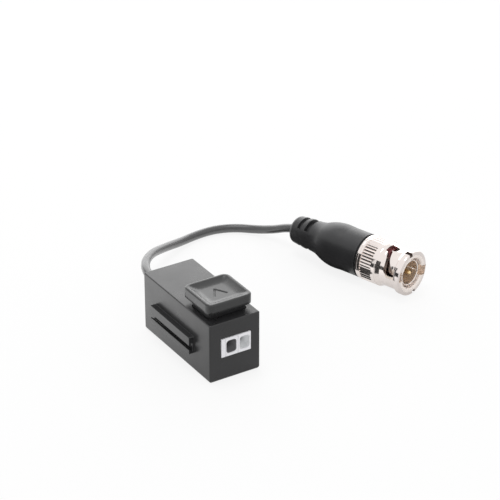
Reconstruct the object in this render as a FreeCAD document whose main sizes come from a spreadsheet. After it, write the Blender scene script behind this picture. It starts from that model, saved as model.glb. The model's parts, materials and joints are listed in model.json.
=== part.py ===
"""CCTV video balun: a push terminal for a wire pair, and a coaxial pigtail with a BNC plug.

The housing stands on its base. Its terminal end faces -Y and the cable leaves at +Y.
Lengths are in millimetres and angles in degrees.
"""
import FreeCAD, Part
import math
import os
import types
import Sketcher

Vector = FreeCAD.Vector
Rotation = FreeCAD.Rotation
Placement = FreeCAD.Placement

SIZES = {
    # Housing box
    "housing_width": 17.0,
    "housing_length": 38.0,
    "housing_height": 19.2,
    "housing_wall": 1.3,
    "housing_corner": 0.5,
    "housing_top_round": 0.35,
    "housing_foot_round": 1.0,
    # Interlock: a slotted rail on the left side, a tongue that fits it on the right
    "rail_depth": 1.75,
    "rail_from_front": 8.8,
    "rail_from_back": 6.7,
    "rail_bottom": 6.2,
    "rail_height": 5.5,
    "slot_rise": 2.1,
    "slot_mouth": 1.5,
    "slot_mouth_depth": 0.6,
    "slot_height": 2.5,
    "slot_depth": 0.6,
    "tongue_inset": 1.0,
    "slide_clearance": 0.15,
    # Base cover with its posts and snap hooks
    "cover_thickness": 1.3,
    "cover_clearance": 0.1,
    "post_radius": 1.2,
    "post_height": 2.1,
    "post_from_side": 1.6,
    "post_from_end": 3.1,
    "pin_radius": 0.5,
    "pin_height": 0.85,
    "pin_clearance": 0.1,
    "hook_place": 9.0,
    "hook_length": 3.0,
    "hook_thickness": 0.6,
    "hook_height": 3.7,
    "hook_barb": 0.5,
    "barb_rise": 2.1,
    "barb_height": 1.0,
    "pocket_clearance": 0.15,
    # Circuit board and what is soldered to it
    "board_thickness": 1.0,
    "board_side_gap": 0.8,
    "board_front_gap": 1.1,
    "board_back_gap": 1.7,
    "core_gap": 0.95,
    "core_radius": 3.6,
    "core_hole_radius": 1.9,
    "core_height": 3.0,
    "core_edge": 0.3,
    "turn_thickness": 0.4,
    "turn_width": 0.5,
    "turn_gap": 0.05,
    "turn_count": 20,
    "suppressor_across": -2.9,
    "suppressor_from_back": 6.7,
    "suppressor_length": 4.4,
    "suppressor_width": 3.6,
    "suppressor_height": 2.2,
    "chip_across": 3.4,
    "capacitor_from_back": 8.3,
    "resistor_from_back": 5.3,
    "chip_length": 3.2,
    "chip_width": 1.6,
    "capacitor_height": 1.2,
    "resistor_height": 0.6,
    "chip_cap": 0.5,
    "chip_cap_rise": 0.05,
    # White terminal block
    "terminal_width": 9.87,
    "terminal_depth": 12.0,
    "terminal_height": 10.5,
    "terminal_centre": 0.235,
    "terminal_wall_gap": 0.1,
    "nose_rise": 3.5,
    "nose_height": 6.0,
    "nose_reach": 0.3,
    "window_clearance": 0.1,
    "end_plate": 1.39,
    "face_line_width": 0.16,
    "face_line_depth": 0.2,
    "pole_middle": 0.855,
    "pole_pitch": 4.47,
    "entry_width": 3.45,
    "entry_height": 4.2,
    "entry_corner": 1.0,
    "entry_depth": 3.7,
    "chamber_width": 3.1,
    "chamber_length": 5.6,
    "chamber_floor": 1.6,
    # Wire funnels
    "funnel_gap": 0.05,
    "funnel_sink": 0.15,
    "funnel_length": 3.0,
    "funnel_rim": 0.15,
    "throat_width": 1.4,
    "throat_height": 1.8,
    "throat_corner": 0.6,
    # Contact bars and clamp springs
    "bar_width": 1.4,
    "bar_thickness": 0.5,
    "bar_offset": 0.8,
    "bar_gap": 0.1,
    "bar_sink": 1.3,
    "bar_tongue": 5.1,
    "tail_length": 1.2,
    "tail_clearance": 0.05,
    "tail_hole_clearance": 0.1,
    "leaf_thickness": 0.3,
    "leaf_width": 2.7,
    "leaf_gap": 0.05,
    "leaf_clearance": 0.1,
    "leaf_base": 2.5,
    "leaf_leg": 5.2,
    "leaf_angle": 45.0,
    "loop_radius": 1.65,
    # Push button
    "cap_width": 15.2,
    "cap_length": 15.0,
    "cap_from_front": 2.25,
    "cap_gap": 1.95,
    "cap_height": 3.15,
    "cap_corner": 2.2,
    "cap_round": 0.6,
    "cap_wall": 1.5,
    "cap_hollow": 1.15,
    "dish_rim": 1.0,
    "dish_depth": 0.9,
    "dish_shoulder": 0.5,
    "dish_shoulder_step": 0.85,
    "dish_floor_step": 2.3,
    "dish_floor_corner": 0.8,
    "chevron_reach": 1.9,
    "chevron_half_width": 2.05,
    "chevron_length": 3.5,
    "chevron_stroke": 1.0,
    "chevron_depth": 0.25,
    "plunger_width": 13.0,
    "plunger_length": 10.1,
    "plunger_step": 1.45,
    "plunger_wall": 1.1,
    "plunger_corner": 1.4,
    "opening_clearance": 0.15,
    "catch_reach": 0.5,
    "catch_height": 0.7,
    "catch_flat": 0.3,
    "catch_gap": 0.2,
    "catch_length": 4.0,
    "finger_width": 1.1,
    "finger_depth": 1.2,
    "finger_offset": 0.9,
    "finger_gap": 0.35,
    # Return spring
    "spring_radius": 1.6,
    "spring_wire": 0.35,
    "spring_turns": 5.5,
    "spring_clearance": 0.175,
    "spigot_radius": 1.1,
    "spigot_height": 1.0,
    # Cable, its grommet in the back wall and its free length
    "cord_diameter": 2.8,
    "cable_height": 9.6,
    "core_wire_radius": 0.5,
    "core_wire_bend": 1.5,
    "cable_strip": 3.4,
    "core_wire_length": 3.0,
    "grommet_hole_radius": 2.5,
    "grommet_neck_gap": 0.05,
    "grommet_bore_gap": 0.02,
    "grommet_flange_radius": 3.2,
    "grommet_flange": 1.3,
    "grommet_collar_radius": 3.0,
    "grommet_collar": 0.8,
    "grommet_reach": 5.0,
    "grommet_root_radius": 2.4,
    "grommet_tip_radius": 1.9,
    "grommet_groove_start": 1.9,
    "grommet_groove_width": 0.6,
    "grommet_groove_pitch": 1.6,
    "grommet_groove_radius": 1.65,
    # Where the plug lies, and which way it points
    "plug_across": 71.75,
    "plug_along": -6.5,
    "plug_turn": 17.5,
    "plug_rest_gap": 0.05,
    # Coupling ring, measured backwards along the plug's axis
    "ring_front": -0.4,
    "ring_bore_radius": 4.95,
    "ring_flange_radius": 7.25,
    "ring_flange": 1.85,
    "ring_flange_round": 0.4,
    "ring_barrel_radius": 6.5,
    "ring_neck_start": 3.1,
    "ring_neck_curve": 1.5,
    "ring_cone_start": 7.6,
    "ring_cone_end": 9.0,
    "ring_cone_radius": 7.1,
    "ring_band_start": 9.3,
    "ring_chamfer": 0.3,
    "gasket_groove_start": 6.55,
    "gasket_groove_end": 9.4,
    "gasket_groove_radius": 5.75,
    "chamber_start": 10.2,
    "ring_chamber_radius": 6.05,
    "knurl_start": 10.6,
    "knurl_length": 4.3,
    "knurl_depth": 0.35,
    "knurl_count": 44,
    "knurl_half_angle": 35.0,
    "ring_length": 15.8,
    # Entry notches, the channels behind them, and the two bayonet slots
    "notch_turn": -10.0,
    "notch_width": 3.2,
    "notch_radius": 6.7,
    "notch_depth": 2.2,
    "channel_radius": 5.8,
    "channel_depth": 6.0,
    "slot_reach": 7.6,
    "slot_turn": 38.0,
    "slot_near_side": -3.8,
    "slot_entry": 1.5,
    "slot_first_place": 3.3,
    "slot_first_side": -1.8,
    "slot_second_place": 5.2,
    "slot_second_side": 0.2,
    "slot_crest_place": 6.1,
    "slot_crest_side": 3.0,
    "slot_far_side": 3.9,
    "slot_back_end": 8.3,
    "slot_back_middle": 7.8,
    "slot_back_middle_side": 1.2,
    "slot_back_bend": 6.9,
    "slot_back_bend_side": -1.6,
    "slot_back_start": 6.5,
    "level_front": 6.35,
    "level_back": 8.15,
    "level_near_side": -2.2,
    "level_far_side": 1.6,
    "detent_turn": 88.0,
    "detent_place": 5.95,
    "detent_radius": 1.3,
    "nick_width": 1.3,
    "nick_depth": 1.2,
    "nick_angle": 8.0,
    # Retaining ring
    "retainer_radius": 7.2,
    "retainer_thickness": 0.8,
    "retainer_spigot": 0.6,
    "retainer_gap": 0.05,
    "retainer_chamfer": 0.2,
    "turning_clearance": 0.15,
    # Plug body
    "tube_front": 0.45,
    "tube_radius": 4.25,
    "tube_bore_radius": 3.8,
    "tube_chamfer": 0.25,
    "tube_depth": 6.6,
    "seat_start": 9.3,
    "flange_radius": 5.85,
    "flange_start": 10.6,
    "flange_thickness": 2.8,
    "neck_radius": 4.9,
    "neck_end": 17.6,
    "barrel_radius": 1.9,
    "barrel_bore_radius": 1.6,
    "barrel_end": 24.0,
    "slit_width": 0.35,
    "slit_length": 5.0,
    "slit_angle": 80.0,
    # Insulator, centre pin, gasket, washer and ferrule
    "insulator_radius": 3.0,
    "insulator_end": 13.0,
    "plug_fit": 0.02,
    "contact_radius": 0.675,
    "contact_front": 0.3,
    "contact_nose": 0.65,
    "contact_tail_radius": 0.9,
    "contact_end": 18.0,
    "gasket_radius": 5.6,
    "gasket_length": 2.2,
    "gasket_round": 0.2,
    "washer_thickness": 0.3,
    "washer_slack": 0.05,
    "washer_clearance": 0.1,
    "ferrule_start": 18.0,
    "ferrule_end": 25.5,
    "ferrule_wall": 0.5,
    # Moulded boot
    "boot_gap": 0.15,
    "boot_front_radius": 7.1,
    "boot_front_round": 0.45,
    "boot_step": 25.5,
    "boot_widest_radius": 7.25,
    "shoulder_start": 27.0,
    "shoulder_curve": 16.0,
    "shoulder_end": 33.5,
    "shoulder_end_radius": 5.93,
    "waist_start": 38.0,
    "waist_radius": 5.0,
    "waist_curve": 11.1,
    "relief_width": 1.4,
    "relief_floor_radius": 4.1,
    "relief_angle": 104.0,
    "second_relief": 41.2,
    "second_relief_width": 1.2,
    "tail_start_radius": 4.72,
    "tail_bend": 44.2,
    "tail_bend_radius": 4.5,
    "tail_curve": 1.7,
    "boot_end": 45.8,
    "boot_end_radius": 3.5,
    "boot_fit": 0.05,
}

# The free cord's route, from the grommet to the boot
CORD_ROUTE = [
    (0.0, 24.0, 9.6),
    (0.0, 31.5, 9.6),
    (3.5, 40.2, 8.9),
    (10.0, 47.6, 7.1),
    (18.2, 53.2, 4.4),
    (26.4, 57.6, 2.0),
    (34.2, 60.0, 1.42),
    (41.3, 60.1, 1.42),
    (47.7, 57.4, 1.42),
    (52.5, 52.3, 1.7),
    (55.2, 46.0, 4.2),
    (56.7, 40.9, 6.7),
    (57.98, 37.18, 7.3),
]
ARC_SHARE = 0.45


class Size:
    """A length, angle or count: its value now, and the sheet formula that it follows."""

    def __init__(self, value, formula):
        self.value = value
        self.formula = formula

    def __add__(self, other):
        other = as_size(other)
        return Size(self.value + other.value, "(%s + %s)" % (self.formula, other.formula))

    def __sub__(self, other):
        other = as_size(other)
        return Size(self.value - other.value, "(%s - %s)" % (self.formula, other.formula))

    def __mul__(self, other):
        other = as_size(other)
        return Size(self.value * other.value, "(%s * %s)" % (self.formula, other.formula))

    def __truediv__(self, other):
        other = as_size(other)
        return Size(self.value / other.value, "(%s / %s)" % (self.formula, other.formula))

    def __neg__(self):
        return Size(-self.value, "(0 - %s)" % self.formula)


def as_size(number):
    return number if isinstance(number, Size) else Size(number, "(%s)" % number)


def cosine(angle):
    return Size(math.cos(math.radians(angle.value)), "cos(%s * 1deg)" % angle.formula)


def sine(angle):
    return Size(math.sin(math.radians(angle.value)), "sin(%s * 1deg)" % angle.formula)


def make_sheet(doc):
    """Fill the sheet with the driving sizes and return them as tied sizes."""
    sheet = doc.addObject("Spreadsheet::Sheet", "Sizes")
    for row, (name, value) in enumerate(SIZES.items(), 1):
        sheet.set("A%d" % row, name)
        sheet.set("B%d" % row, str(value))
        sheet.setAlias("B%d" % row, name)
    doc.recompute()
    return types.SimpleNamespace(**{name: Size(value, "Sizes.%s" % name) for name, value in SIZES.items()})


doc = FreeCAD.newDocument("balun")
d = make_sheet(doc)

# Places that several pieces share
half_width = d.housing_width / 2
front = -d.housing_length / 2
back = d.housing_length / 2
inner_side = half_width - d.housing_wall
inner_front = front + d.housing_wall
inner_back = back - d.housing_wall
ceiling = d.housing_height - d.housing_wall
board_bottom = d.cover_thickness + d.post_height
board_top = board_bottom + d.board_thickness

rail_front = front + d.rail_from_front
rail_back = back - d.rail_from_back
slot_centre = d.rail_bottom + d.slot_rise

terminal_left = d.terminal_centre - d.terminal_width / 2
terminal_right = d.terminal_centre + d.terminal_width / 2
terminal_front = inner_front + d.terminal_wall_gap
terminal_top = board_top + d.terminal_height
nose_front = front - d.nose_reach
nose_bottom = board_top + d.nose_rise
nose_top = nose_bottom + d.nose_height
entry_centre = nose_bottom + d.nose_height / 2
chamber_front = nose_front + d.entry_depth
chamber_back = chamber_front + d.chamber_length
chamber_bottom = board_top + d.chamber_floor
POLES = {"left": d.pole_middle - d.pole_pitch / 2, "right": d.pole_middle + d.pole_pitch / 2}

bar_back = chamber_back - d.bar_gap
bar_front = bar_back - d.bar_thickness
bar_top = terminal_top - d.bar_sink
loop_outer = d.loop_radius + d.leaf_thickness / 2
loop_inner = d.loop_radius - d.leaf_thickness / 2
loop_along = bar_front - d.leaf_clearance - loop_outer
loop_height = chamber_bottom + d.leaf_gap + loop_outer

cap_front = front + d.cap_from_front
cap_back = cap_front + d.cap_length
cap_middle = cap_front + d.cap_length / 2
cap_left = d.terminal_centre - d.cap_width / 2
cap_right = d.terminal_centre + d.cap_width / 2
cap_bottom = d.housing_height + d.cap_gap
cap_top = cap_bottom + d.cap_height
cap_ceiling = cap_bottom + d.cap_hollow
plunger_front = cap_front + d.plunger_step
plunger_back = plunger_front + d.plunger_length
catch_top = ceiling - d.catch_gap
plunger_bottom = catch_top - d.catch_height
spring_outer = d.spring_radius + d.spring_wire / 2
spring_along = plunger_back - d.plunger_wall - d.spring_clearance - spring_outer

finger_slope = cosine(d.leaf_angle) / sine(d.leaf_angle)
leg_top = loop_height + loop_outer / sine(d.leaf_angle) + d.finger_depth * finger_slope
finger_bottom = leg_top + d.finger_gap

cord_radius = d.cord_diameter / 2
strip_place = inner_back - d.grommet_flange - d.cable_strip
bend_place = strip_place - d.core_wire_length
core_wire_front = bend_place - d.core_wire_bend - d.core_wire_radius
core_place = core_wire_front - d.core_gap - d.core_radius - d.turn_gap - d.turn_thickness
plug_height = d.boot_widest_radius + d.plug_rest_gap
retainer_front = d.ring_length - d.retainer_spigot
retainer_end = d.ring_length + d.retainer_thickness
boot_front = retainer_end + d.boot_gap
seat_radius = d.ring_bore_radius - d.turning_clearance


# Sketches and features that every piece is made with

def tie(item, name, size):
    """Set one property of an object from a tied size."""
    size = as_size(size)
    item.setExpression(name, size.formula)


def new_body(label, across=0, along=0, height=0, turn=None):
    """Start a body at a place, turned about the vertical where a turn is given."""
    body = doc.addObject("PartDesign::Body", label)
    body.Label = label
    if turn is not None:
        body.Placement = Placement(Vector(0, 0, 0), Rotation(Vector(0, 0, 1), turn.value))
        tie(body, "Placement.Rotation.Angle", turn)
    for axis, size in zip("xyz", (across, along, height)):
        if isinstance(size, Size):
            tie(body, "Placement.Base." + axis, size)
    return body


def new_sketch(body, role, offset=None, turn=None, about=(0, 1, 0)):
    """Start a sketch on an origin plane, shifted along its normal or turned about an axis of its own."""
    sketch = body.newObject("Sketcher::SketchObject", body.Label + "_sketch")
    plane = next(item for item in body.Origin.OriginFeatures if item.Role == role)
    sketch.AttachmentSupport = [(plane, "")]
    sketch.MapMode = "FlatFace"
    if turn is not None:
        sketch.AttachmentOffset = Placement(Vector(0, 0, 0), Rotation(Vector(*about), turn.value))
        tie(sketch, "AttachmentOffset.Rotation.Angle", turn)
    if offset is not None:
        tie(sketch, "AttachmentOffset.Base.z", offset)
    return sketch


def hold(sketch, kind, *where, size):
    """Add one dimension to a sketch and tie it to the sheet."""
    size = as_size(size)
    number = sketch.addConstraint(Sketcher.Constraint(kind, *where, size.value))
    sketch.setExpression("Constraints[%d]" % number, size.formula)


def pin(sketch, edge, end, u, v):
    """Hold one end, or the centre, of an edge at (u, v)."""
    for kind, size, axis in (("DistanceX", u, -2), ("DistanceY", v, -1)):
        if isinstance(size, Size):
            hold(sketch, kind, -1, 1, edge, end, size=size)
        else:
            sketch.addConstraint(Sketcher.Constraint("PointOnObject", edge, end, axis))


def add_arc(sketch, first, last, radius):
    """Add an arc between two points and return its edge and its first and last ends.

    It turns left on the way from the first to the last where the radius is positive.
    """
    way = Vector(last[0] - first[0], last[1] - first[1], 0)
    middle = Vector(first[0] + last[0], first[1] + last[1], 0) / 2
    side = math.copysign(math.sqrt(radius ** 2 - way.Length ** 2 / 4), radius)
    centre = middle + Vector(-way.y, way.x, 0) / way.Length * side
    start, stop = (first, last) if radius > 0 else (last, first)
    start_angle = math.atan2(start[1] - centre.y, start[0] - centre.x)
    stop_angle = math.atan2(stop[1] - centre.y, stop[0] - centre.x)
    circle = Part.Circle(centre, Vector(0, 0, 1), abs(radius))
    edge = sketch.addGeometry(Part.ArcOfCircle(circle, start_angle, stop_angle))
    return (edge, 1, 2) if radius > 0 else (edge, 2, 1)


def outline(sketch, corners):
    """Draw a closed outline with every corner tied to the sheet.

    A corner is (u, v), or (u, v, radius) where an arc of that radius leads to it. The arc
    turns left on its way where the radius is positive, and right where it is negative.
    """
    places = [tuple(as_size(size).value for size in corner[:2]) for corner in corners]
    edges = []
    for index, corner in enumerate(corners):
        first = places[index - 1]
        if len(corner) == 3:
            edges.append(add_arc(sketch, first, places[index], corner[2].value))
        else:
            line = Part.LineSegment(Vector(*first, 0), Vector(*places[index], 0))
            edges.append((sketch.addGeometry(line), 1, 2))
    for index, corner in enumerate(corners):
        edge, start, stop = edges[index]
        following, following_start, _ = edges[(index + 1) % len(edges)]
        sketch.addConstraint(Sketcher.Constraint("Coincident", edge, stop, following, following_start))
        pin(sketch, edge, stop, corner[0], corner[1])
        if len(corner) == 3:
            size = corner[2] if corner[2].value > 0 else -corner[2]
            hold(sketch, "Radius", edge, size=size)


def rectangle(sketch, left, right, low, high):
    outline(sketch, [(left, low), (right, low), (right, high), (left, high)])


def rounded_rectangle(sketch, left, right, low, high, corner):
    outline(sketch, [
        (left + corner, low, corner),
        (right - corner, low),
        (right, low + corner, corner),
        (right, high - corner),
        (right - corner, high, corner),
        (left + corner, high),
        (left, high - corner, corner),
        (left, low + corner),
    ])


def circle(sketch, u, v, radius):
    centre = Vector(as_size(u).value, as_size(v).value, 0)
    edge = sketch.addGeometry(Part.Circle(centre, Vector(0, 0, 1), radius.value))
    pin(sketch, edge, 3, u, v)
    hold(sketch, "Radius", edge, size=radius)


def new_feature(body, kind, sketch):
    feature = body.newObject("PartDesign::" + kind, "%s_%s" % (body.Label, kind))
    feature.Profile = sketch
    return feature


def extrude(body, kind, sketch, length, backwards, both_ways):
    feature = new_feature(body, kind, sketch)
    tie(feature, "Length", length)
    feature.Reversed = backwards
    if both_ways:
        feature.SideType = "Symmetric"
    return feature


def pad(body, sketch, length, backwards=False, both_ways=False):
    return extrude(body, "Pad", sketch, length, backwards, both_ways)


def pocket(body, sketch, length, backwards=False, both_ways=False):
    """Cut a sketch out of a body. The cut runs against the sketch's normal unless it is backwards."""
    return extrude(body, "Pocket", sketch, length, backwards, both_ways)


def turned(body, kind, sketch, angle=360, axis="V_Axis", both_ways=False):
    """Add (Revolution) or cut (Groove) a sketch turned about one of its own axes."""
    feature = new_feature(body, kind, sketch)
    feature.ReferenceAxis = (sketch, [axis])
    tie(feature, "Angle", angle)
    feature.Midplane = both_ways
    return feature


def round_pattern(body, feature, count, role="Y_Axis"):
    """Repeat a feature evenly all the way round an origin axis of its body."""
    pattern = body.newObject("PartDesign::PolarPattern", body.Label + "_pattern")
    pattern.Originals = [feature]
    axis = next(item for item in body.Origin.OriginFeatures if item.Role == role)
    pattern.Axis = (axis, [""])
    pattern.Angle = 360
    tie(pattern, "Occurrences", count)
    body.Tip = pattern
    return pattern


def fillet(body, radius, wanted):
    """Round every edge of the body's last feature whose box passes the test."""
    doc.recompute()
    base = body.Tip
    edges = base.Shape.Edges
    names = ["Edge%d" % number for number, edge in enumerate(edges, 1) if wanted(edge.BoundBox)]
    feature = body.newObject("PartDesign::Fillet", body.Label + "_Fillet")
    feature.Base = (base, names)
    tie(feature, "Radius", radius)
    return feature


def near(value, size):
    return abs(value - size.value) < 0.01


def revolve_body(label, corners, **place):
    """A body turned from one outline of (radius, place along the axis) corners."""
    body = new_body(label, **place)
    sketch = new_sketch(body, "XY_Plane")
    outline(sketch, corners)
    turned(body, "Revolution", sketch)
    return body


PLUG_PLACE = {"across": d.plug_across, "along": d.plug_along, "height": plug_height, "turn": d.plug_turn}
QUARTER_TURN = 90.0


# Housing

def make_housing_shell():
    body = new_body("housing_shell")
    box = new_sketch(body, "XY_Plane")
    rounded_rectangle(box, -half_width, half_width, front, back, d.housing_corner)
    pad(body, box, d.housing_height)
    fillet(body, d.housing_top_round, lambda box: near(box.ZMin, d.housing_height))
    fillet(body, d.housing_foot_round, lambda box: near(box.ZMax, as_size(0)))

    # Slotted rail on the left side, open at both ends
    rail = new_sketch(body, "XZ_Plane", offset=-rail_back)
    rail_face = -half_width - d.rail_depth
    mouth_end = rail_face + d.slot_mouth_depth
    slot_end = mouth_end + d.slot_depth
    root = -half_width + d.housing_wall / 2
    outline(rail, [
        (root, d.rail_bottom),
        (root, d.rail_bottom + d.rail_height),
        (rail_face, d.rail_bottom + d.rail_height),
        (rail_face, slot_centre + d.slot_mouth / 2),
        (mouth_end, slot_centre + d.slot_mouth / 2),
        (mouth_end, slot_centre + d.slot_height / 2),
        (slot_end, slot_centre + d.slot_height / 2),
        (slot_end, slot_centre - d.slot_height / 2),
        (mouth_end, slot_centre - d.slot_height / 2),
        (mouth_end, slot_centre - d.slot_mouth / 2),
        (rail_face, slot_centre - d.slot_mouth / 2),
        (rail_face, d.rail_bottom),
    ])
    pad(body, rail, rail_back - rail_front)

    # Tongue on the right side that slides into a like rail
    tongue = new_sketch(body, "XZ_Plane", offset=d.tongue_inset - rail_back)
    neck_end = half_width + d.slot_mouth_depth + d.slide_clearance
    head_end = half_width + d.slot_mouth_depth + d.slot_depth
    neck_half = d.slot_mouth / 2 - d.slide_clearance
    head_half = d.slot_height / 2 - d.slide_clearance
    outline(tongue, [
        (half_width - d.housing_wall / 2, slot_centre - neck_half),
        (neck_end, slot_centre - neck_half),
        (neck_end, slot_centre - head_half),
        (head_end, slot_centre - head_half),
        (head_end, slot_centre + head_half),
        (neck_end, slot_centre + head_half),
        (neck_end, slot_centre + neck_half),
        (half_width - d.housing_wall / 2, slot_centre + neck_half),
    ])
    pad(body, tongue, rail_back - rail_front - d.tongue_inset * 2)

    # Inside, open at the bottom
    cavity = new_sketch(body, "XY_Plane")
    rectangle(cavity, -inner_side, inner_side, inner_front, inner_back)
    pocket(body, cavity, ceiling, backwards=True)

    # Opening for the button's plunger
    opening = new_sketch(body, "XY_Plane", offset=d.housing_height)
    rounded_rectangle(
        opening,
        -d.plunger_width / 2 - d.opening_clearance,
        d.plunger_width / 2 + d.opening_clearance,
        plunger_front - d.opening_clearance,
        plunger_back + d.opening_clearance,
        d.plunger_corner + d.opening_clearance,
    )
    pocket(body, opening, d.housing_wall)

    # Window for the terminal's nose
    window = new_sketch(body, "XZ_Plane", offset=-front)
    rectangle(
        window,
        terminal_left - d.window_clearance,
        terminal_right + d.window_clearance,
        nose_bottom - d.window_clearance,
        nose_top + d.window_clearance,
    )
    pocket(body, window, d.housing_wall)

    # Hole for the cable grommet
    hole = new_sketch(body, "XZ_Plane", offset=-back)
    circle(hole, 0, d.cable_height, d.grommet_hole_radius)
    pocket(body, hole, d.housing_wall, backwards=True)

    # Pockets that the cover's barbs snap into
    pockets = new_sketch(body, "YZ_Plane")
    low = d.cover_thickness + d.barb_rise - d.pocket_clearance
    high = d.cover_thickness + d.barb_rise + d.barb_height + d.pocket_clearance
    reach = d.hook_length / 2 + d.pocket_clearance
    for place in (-d.hook_place, d.hook_place):
        rectangle(pockets, place - reach, place + reach, low, high)
    barb_face = inner_side - d.cover_clearance + d.hook_barb
    pocket(body, pockets, (barb_face + d.pocket_clearance) * 2, both_ways=True)


def make_base_cover():
    body = new_body("base_cover")
    side = inner_side - d.cover_clearance
    plate = new_sketch(body, "XY_Plane")
    rectangle(plate, -side, side, inner_front + d.cover_clearance, inner_back - d.cover_clearance)
    pad(body, plate, d.cover_thickness)
    posts = new_sketch(body, "XY_Plane", offset=d.cover_thickness)
    pins = new_sketch(body, "XY_Plane", offset=board_bottom)
    for across, along in post_places():
        circle(posts, across, along, d.post_radius)
        circle(pins, across, along, d.pin_radius)
    pad(body, posts, d.post_height)
    pad(body, pins, d.pin_height)

    # Snap hooks that stand along both long sides
    root = d.cover_thickness - d.housing_wall / 2
    barb_low = d.cover_thickness + d.barb_rise
    for along in (-d.hook_place, d.hook_place):
        for sign in (-1, 1):
            hook = new_sketch(body, "XZ_Plane", offset=-along)
            top = d.cover_thickness + d.hook_height
            outline(hook, [
                ((side - d.hook_thickness) * sign, root),
                (side * sign, root),
                (side * sign, barb_low),
                ((side + d.hook_barb) * sign, barb_low),
                ((side + d.hook_barb) * sign, barb_low + d.barb_height / 2),
                (side * sign, barb_low + d.barb_height),
                (side * sign, top),
                ((side - d.hook_thickness) * sign, top),
            ])
            pad(body, hook, d.hook_length, both_ways=True)


def post_places():
    across = inner_side - d.post_from_side
    ends = (inner_front + d.post_from_end, inner_back - d.post_from_end)
    return [(side, end) for end in ends for side in (-across, across)]


# Circuit board and its components

def make_circuit_board():
    body = new_body("circuit_board")
    plate = new_sketch(body, "XY_Plane", offset=board_bottom)
    side = inner_side - d.board_side_gap
    rectangle(plate, -side, side, inner_front + d.board_front_gap, inner_back - d.board_back_gap)
    pad(body, plate, d.board_thickness)
    holes = new_sketch(body, "XY_Plane", offset=board_top)
    for across, along in post_places():
        circle(holes, across, along, d.pin_radius + d.pin_clearance)
    for pole in POLES.values():
        tail_slot(holes, pole, d.tail_hole_clearance)
    pocket(body, holes, d.board_thickness)


def tail_slot(sketch, pole, clearance):
    """The outline of one slot that a contact bar's tail passes through."""
    middle = pole + d.bar_offset
    rectangle(
        sketch,
        middle - d.bar_width / 2 - clearance,
        middle + d.bar_width / 2 + clearance,
        bar_front - clearance,
        bar_back + clearance,
    )


def make_toroid():
    """A ferrite core that lies on the board, wrapped by its turns."""
    core_bottom = board_top + d.turn_gap * 2 + d.turn_thickness
    core = new_body("toroid_core", along=core_place, height=core_bottom)
    section = new_sketch(core, "XZ_Plane")
    edge = d.core_edge
    inner = d.core_hole_radius
    outer = d.core_radius
    outline(section, [
        (outer - edge, 0),
        (outer, edge, edge),
        (outer, d.core_height - edge),
        (outer - edge, d.core_height, edge),
        (inner + edge, d.core_height),
        (inner, d.core_height - edge, edge),
        (inner, edge),
        (inner + edge, 0, edge),
    ])
    turned(core, "Revolution", section)

    turns = new_body("toroid_winding", along=core_place, height=core_bottom)
    outside = new_sketch(turns, "XZ_Plane")
    far = d.turn_gap + d.turn_thickness
    rectangle(outside, inner - far, outer + far, -far, d.core_height + far)
    rectangle(outside, inner - d.turn_gap, outer + d.turn_gap, -d.turn_gap, d.core_height + d.turn_gap)
    loop = pad(turns, outside, d.turn_width, both_ways=True)
    round_pattern(turns, loop, d.turn_count, "Z_Axis")


def make_chip(label, across, along, length, width, height, cap):
    """A surface mounted part: a block between two slightly thicker end caps."""
    body = new_body(label, across=across, along=along, height=board_top)
    block = new_sketch(body, "XY_Plane", offset=d.chip_cap_rise)
    rectangle(block, -length / 2, length / 2, -width / 2, width / 2)
    pad(body, block, height - d.chip_cap_rise)
    caps = new_sketch(body, "XY_Plane")
    half = width / 2 + d.chip_cap_rise
    end = length / 2 + d.chip_cap_rise
    rectangle(caps, -end, cap - end, -half, half)
    rectangle(caps, end - cap, end, -half, half)
    pad(body, caps, height + d.chip_cap_rise)


# Terminal block with its funnels, bars and clamps

def make_terminal_block():
    body = new_body("terminal_block")
    block = new_sketch(body, "XY_Plane", offset=board_top)
    rectangle(block, terminal_left, terminal_right, terminal_front, terminal_front + d.terminal_depth)
    pad(body, block, d.terminal_height)
    nose = new_sketch(body, "XZ_Plane", offset=-terminal_front)
    rectangle(nose, terminal_left, terminal_right, nose_bottom, nose_top)
    pad(body, nose, terminal_front - nose_front)

    # Chambers open at the top, and the wire entries that lead to them
    chambers = new_sketch(body, "XY_Plane", offset=terminal_top)
    entries = new_sketch(body, "XZ_Plane", offset=-nose_front)
    slots = new_sketch(body, "XY_Plane", offset=board_top)
    for pole in POLES.values():
        half = d.chamber_width / 2
        rectangle(chambers, pole - half, pole + half, chamber_front, chamber_back)
        rounded_rectangle(
            entries,
            pole - d.entry_width / 2,
            pole + d.entry_width / 2,
            entry_centre - d.entry_height / 2,
            entry_centre + d.entry_height / 2,
            d.entry_corner,
        )
        tail_slot(slots, pole, d.tail_clearance)
    pocket(body, chambers, terminal_top - chamber_bottom)
    pocket(body, entries, d.entry_depth)
    pocket(body, slots, d.chamber_floor, backwards=True)

    # Fine lines where the end plate and the two poles meet on the face
    lines = new_sketch(body, "XZ_Plane", offset=-nose_front)
    for middle in (terminal_left + d.end_plate, d.pole_middle):
        half = d.face_line_width / 2
        rectangle(lines, middle - half, middle + half, nose_bottom, nose_top)
    pocket(body, lines, d.face_line_depth)

    spigot = new_sketch(body, "XY_Plane", offset=terminal_top)
    circle(spigot, d.terminal_centre, spring_along, d.spigot_radius)
    pad(body, spigot, d.spigot_height)


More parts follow.
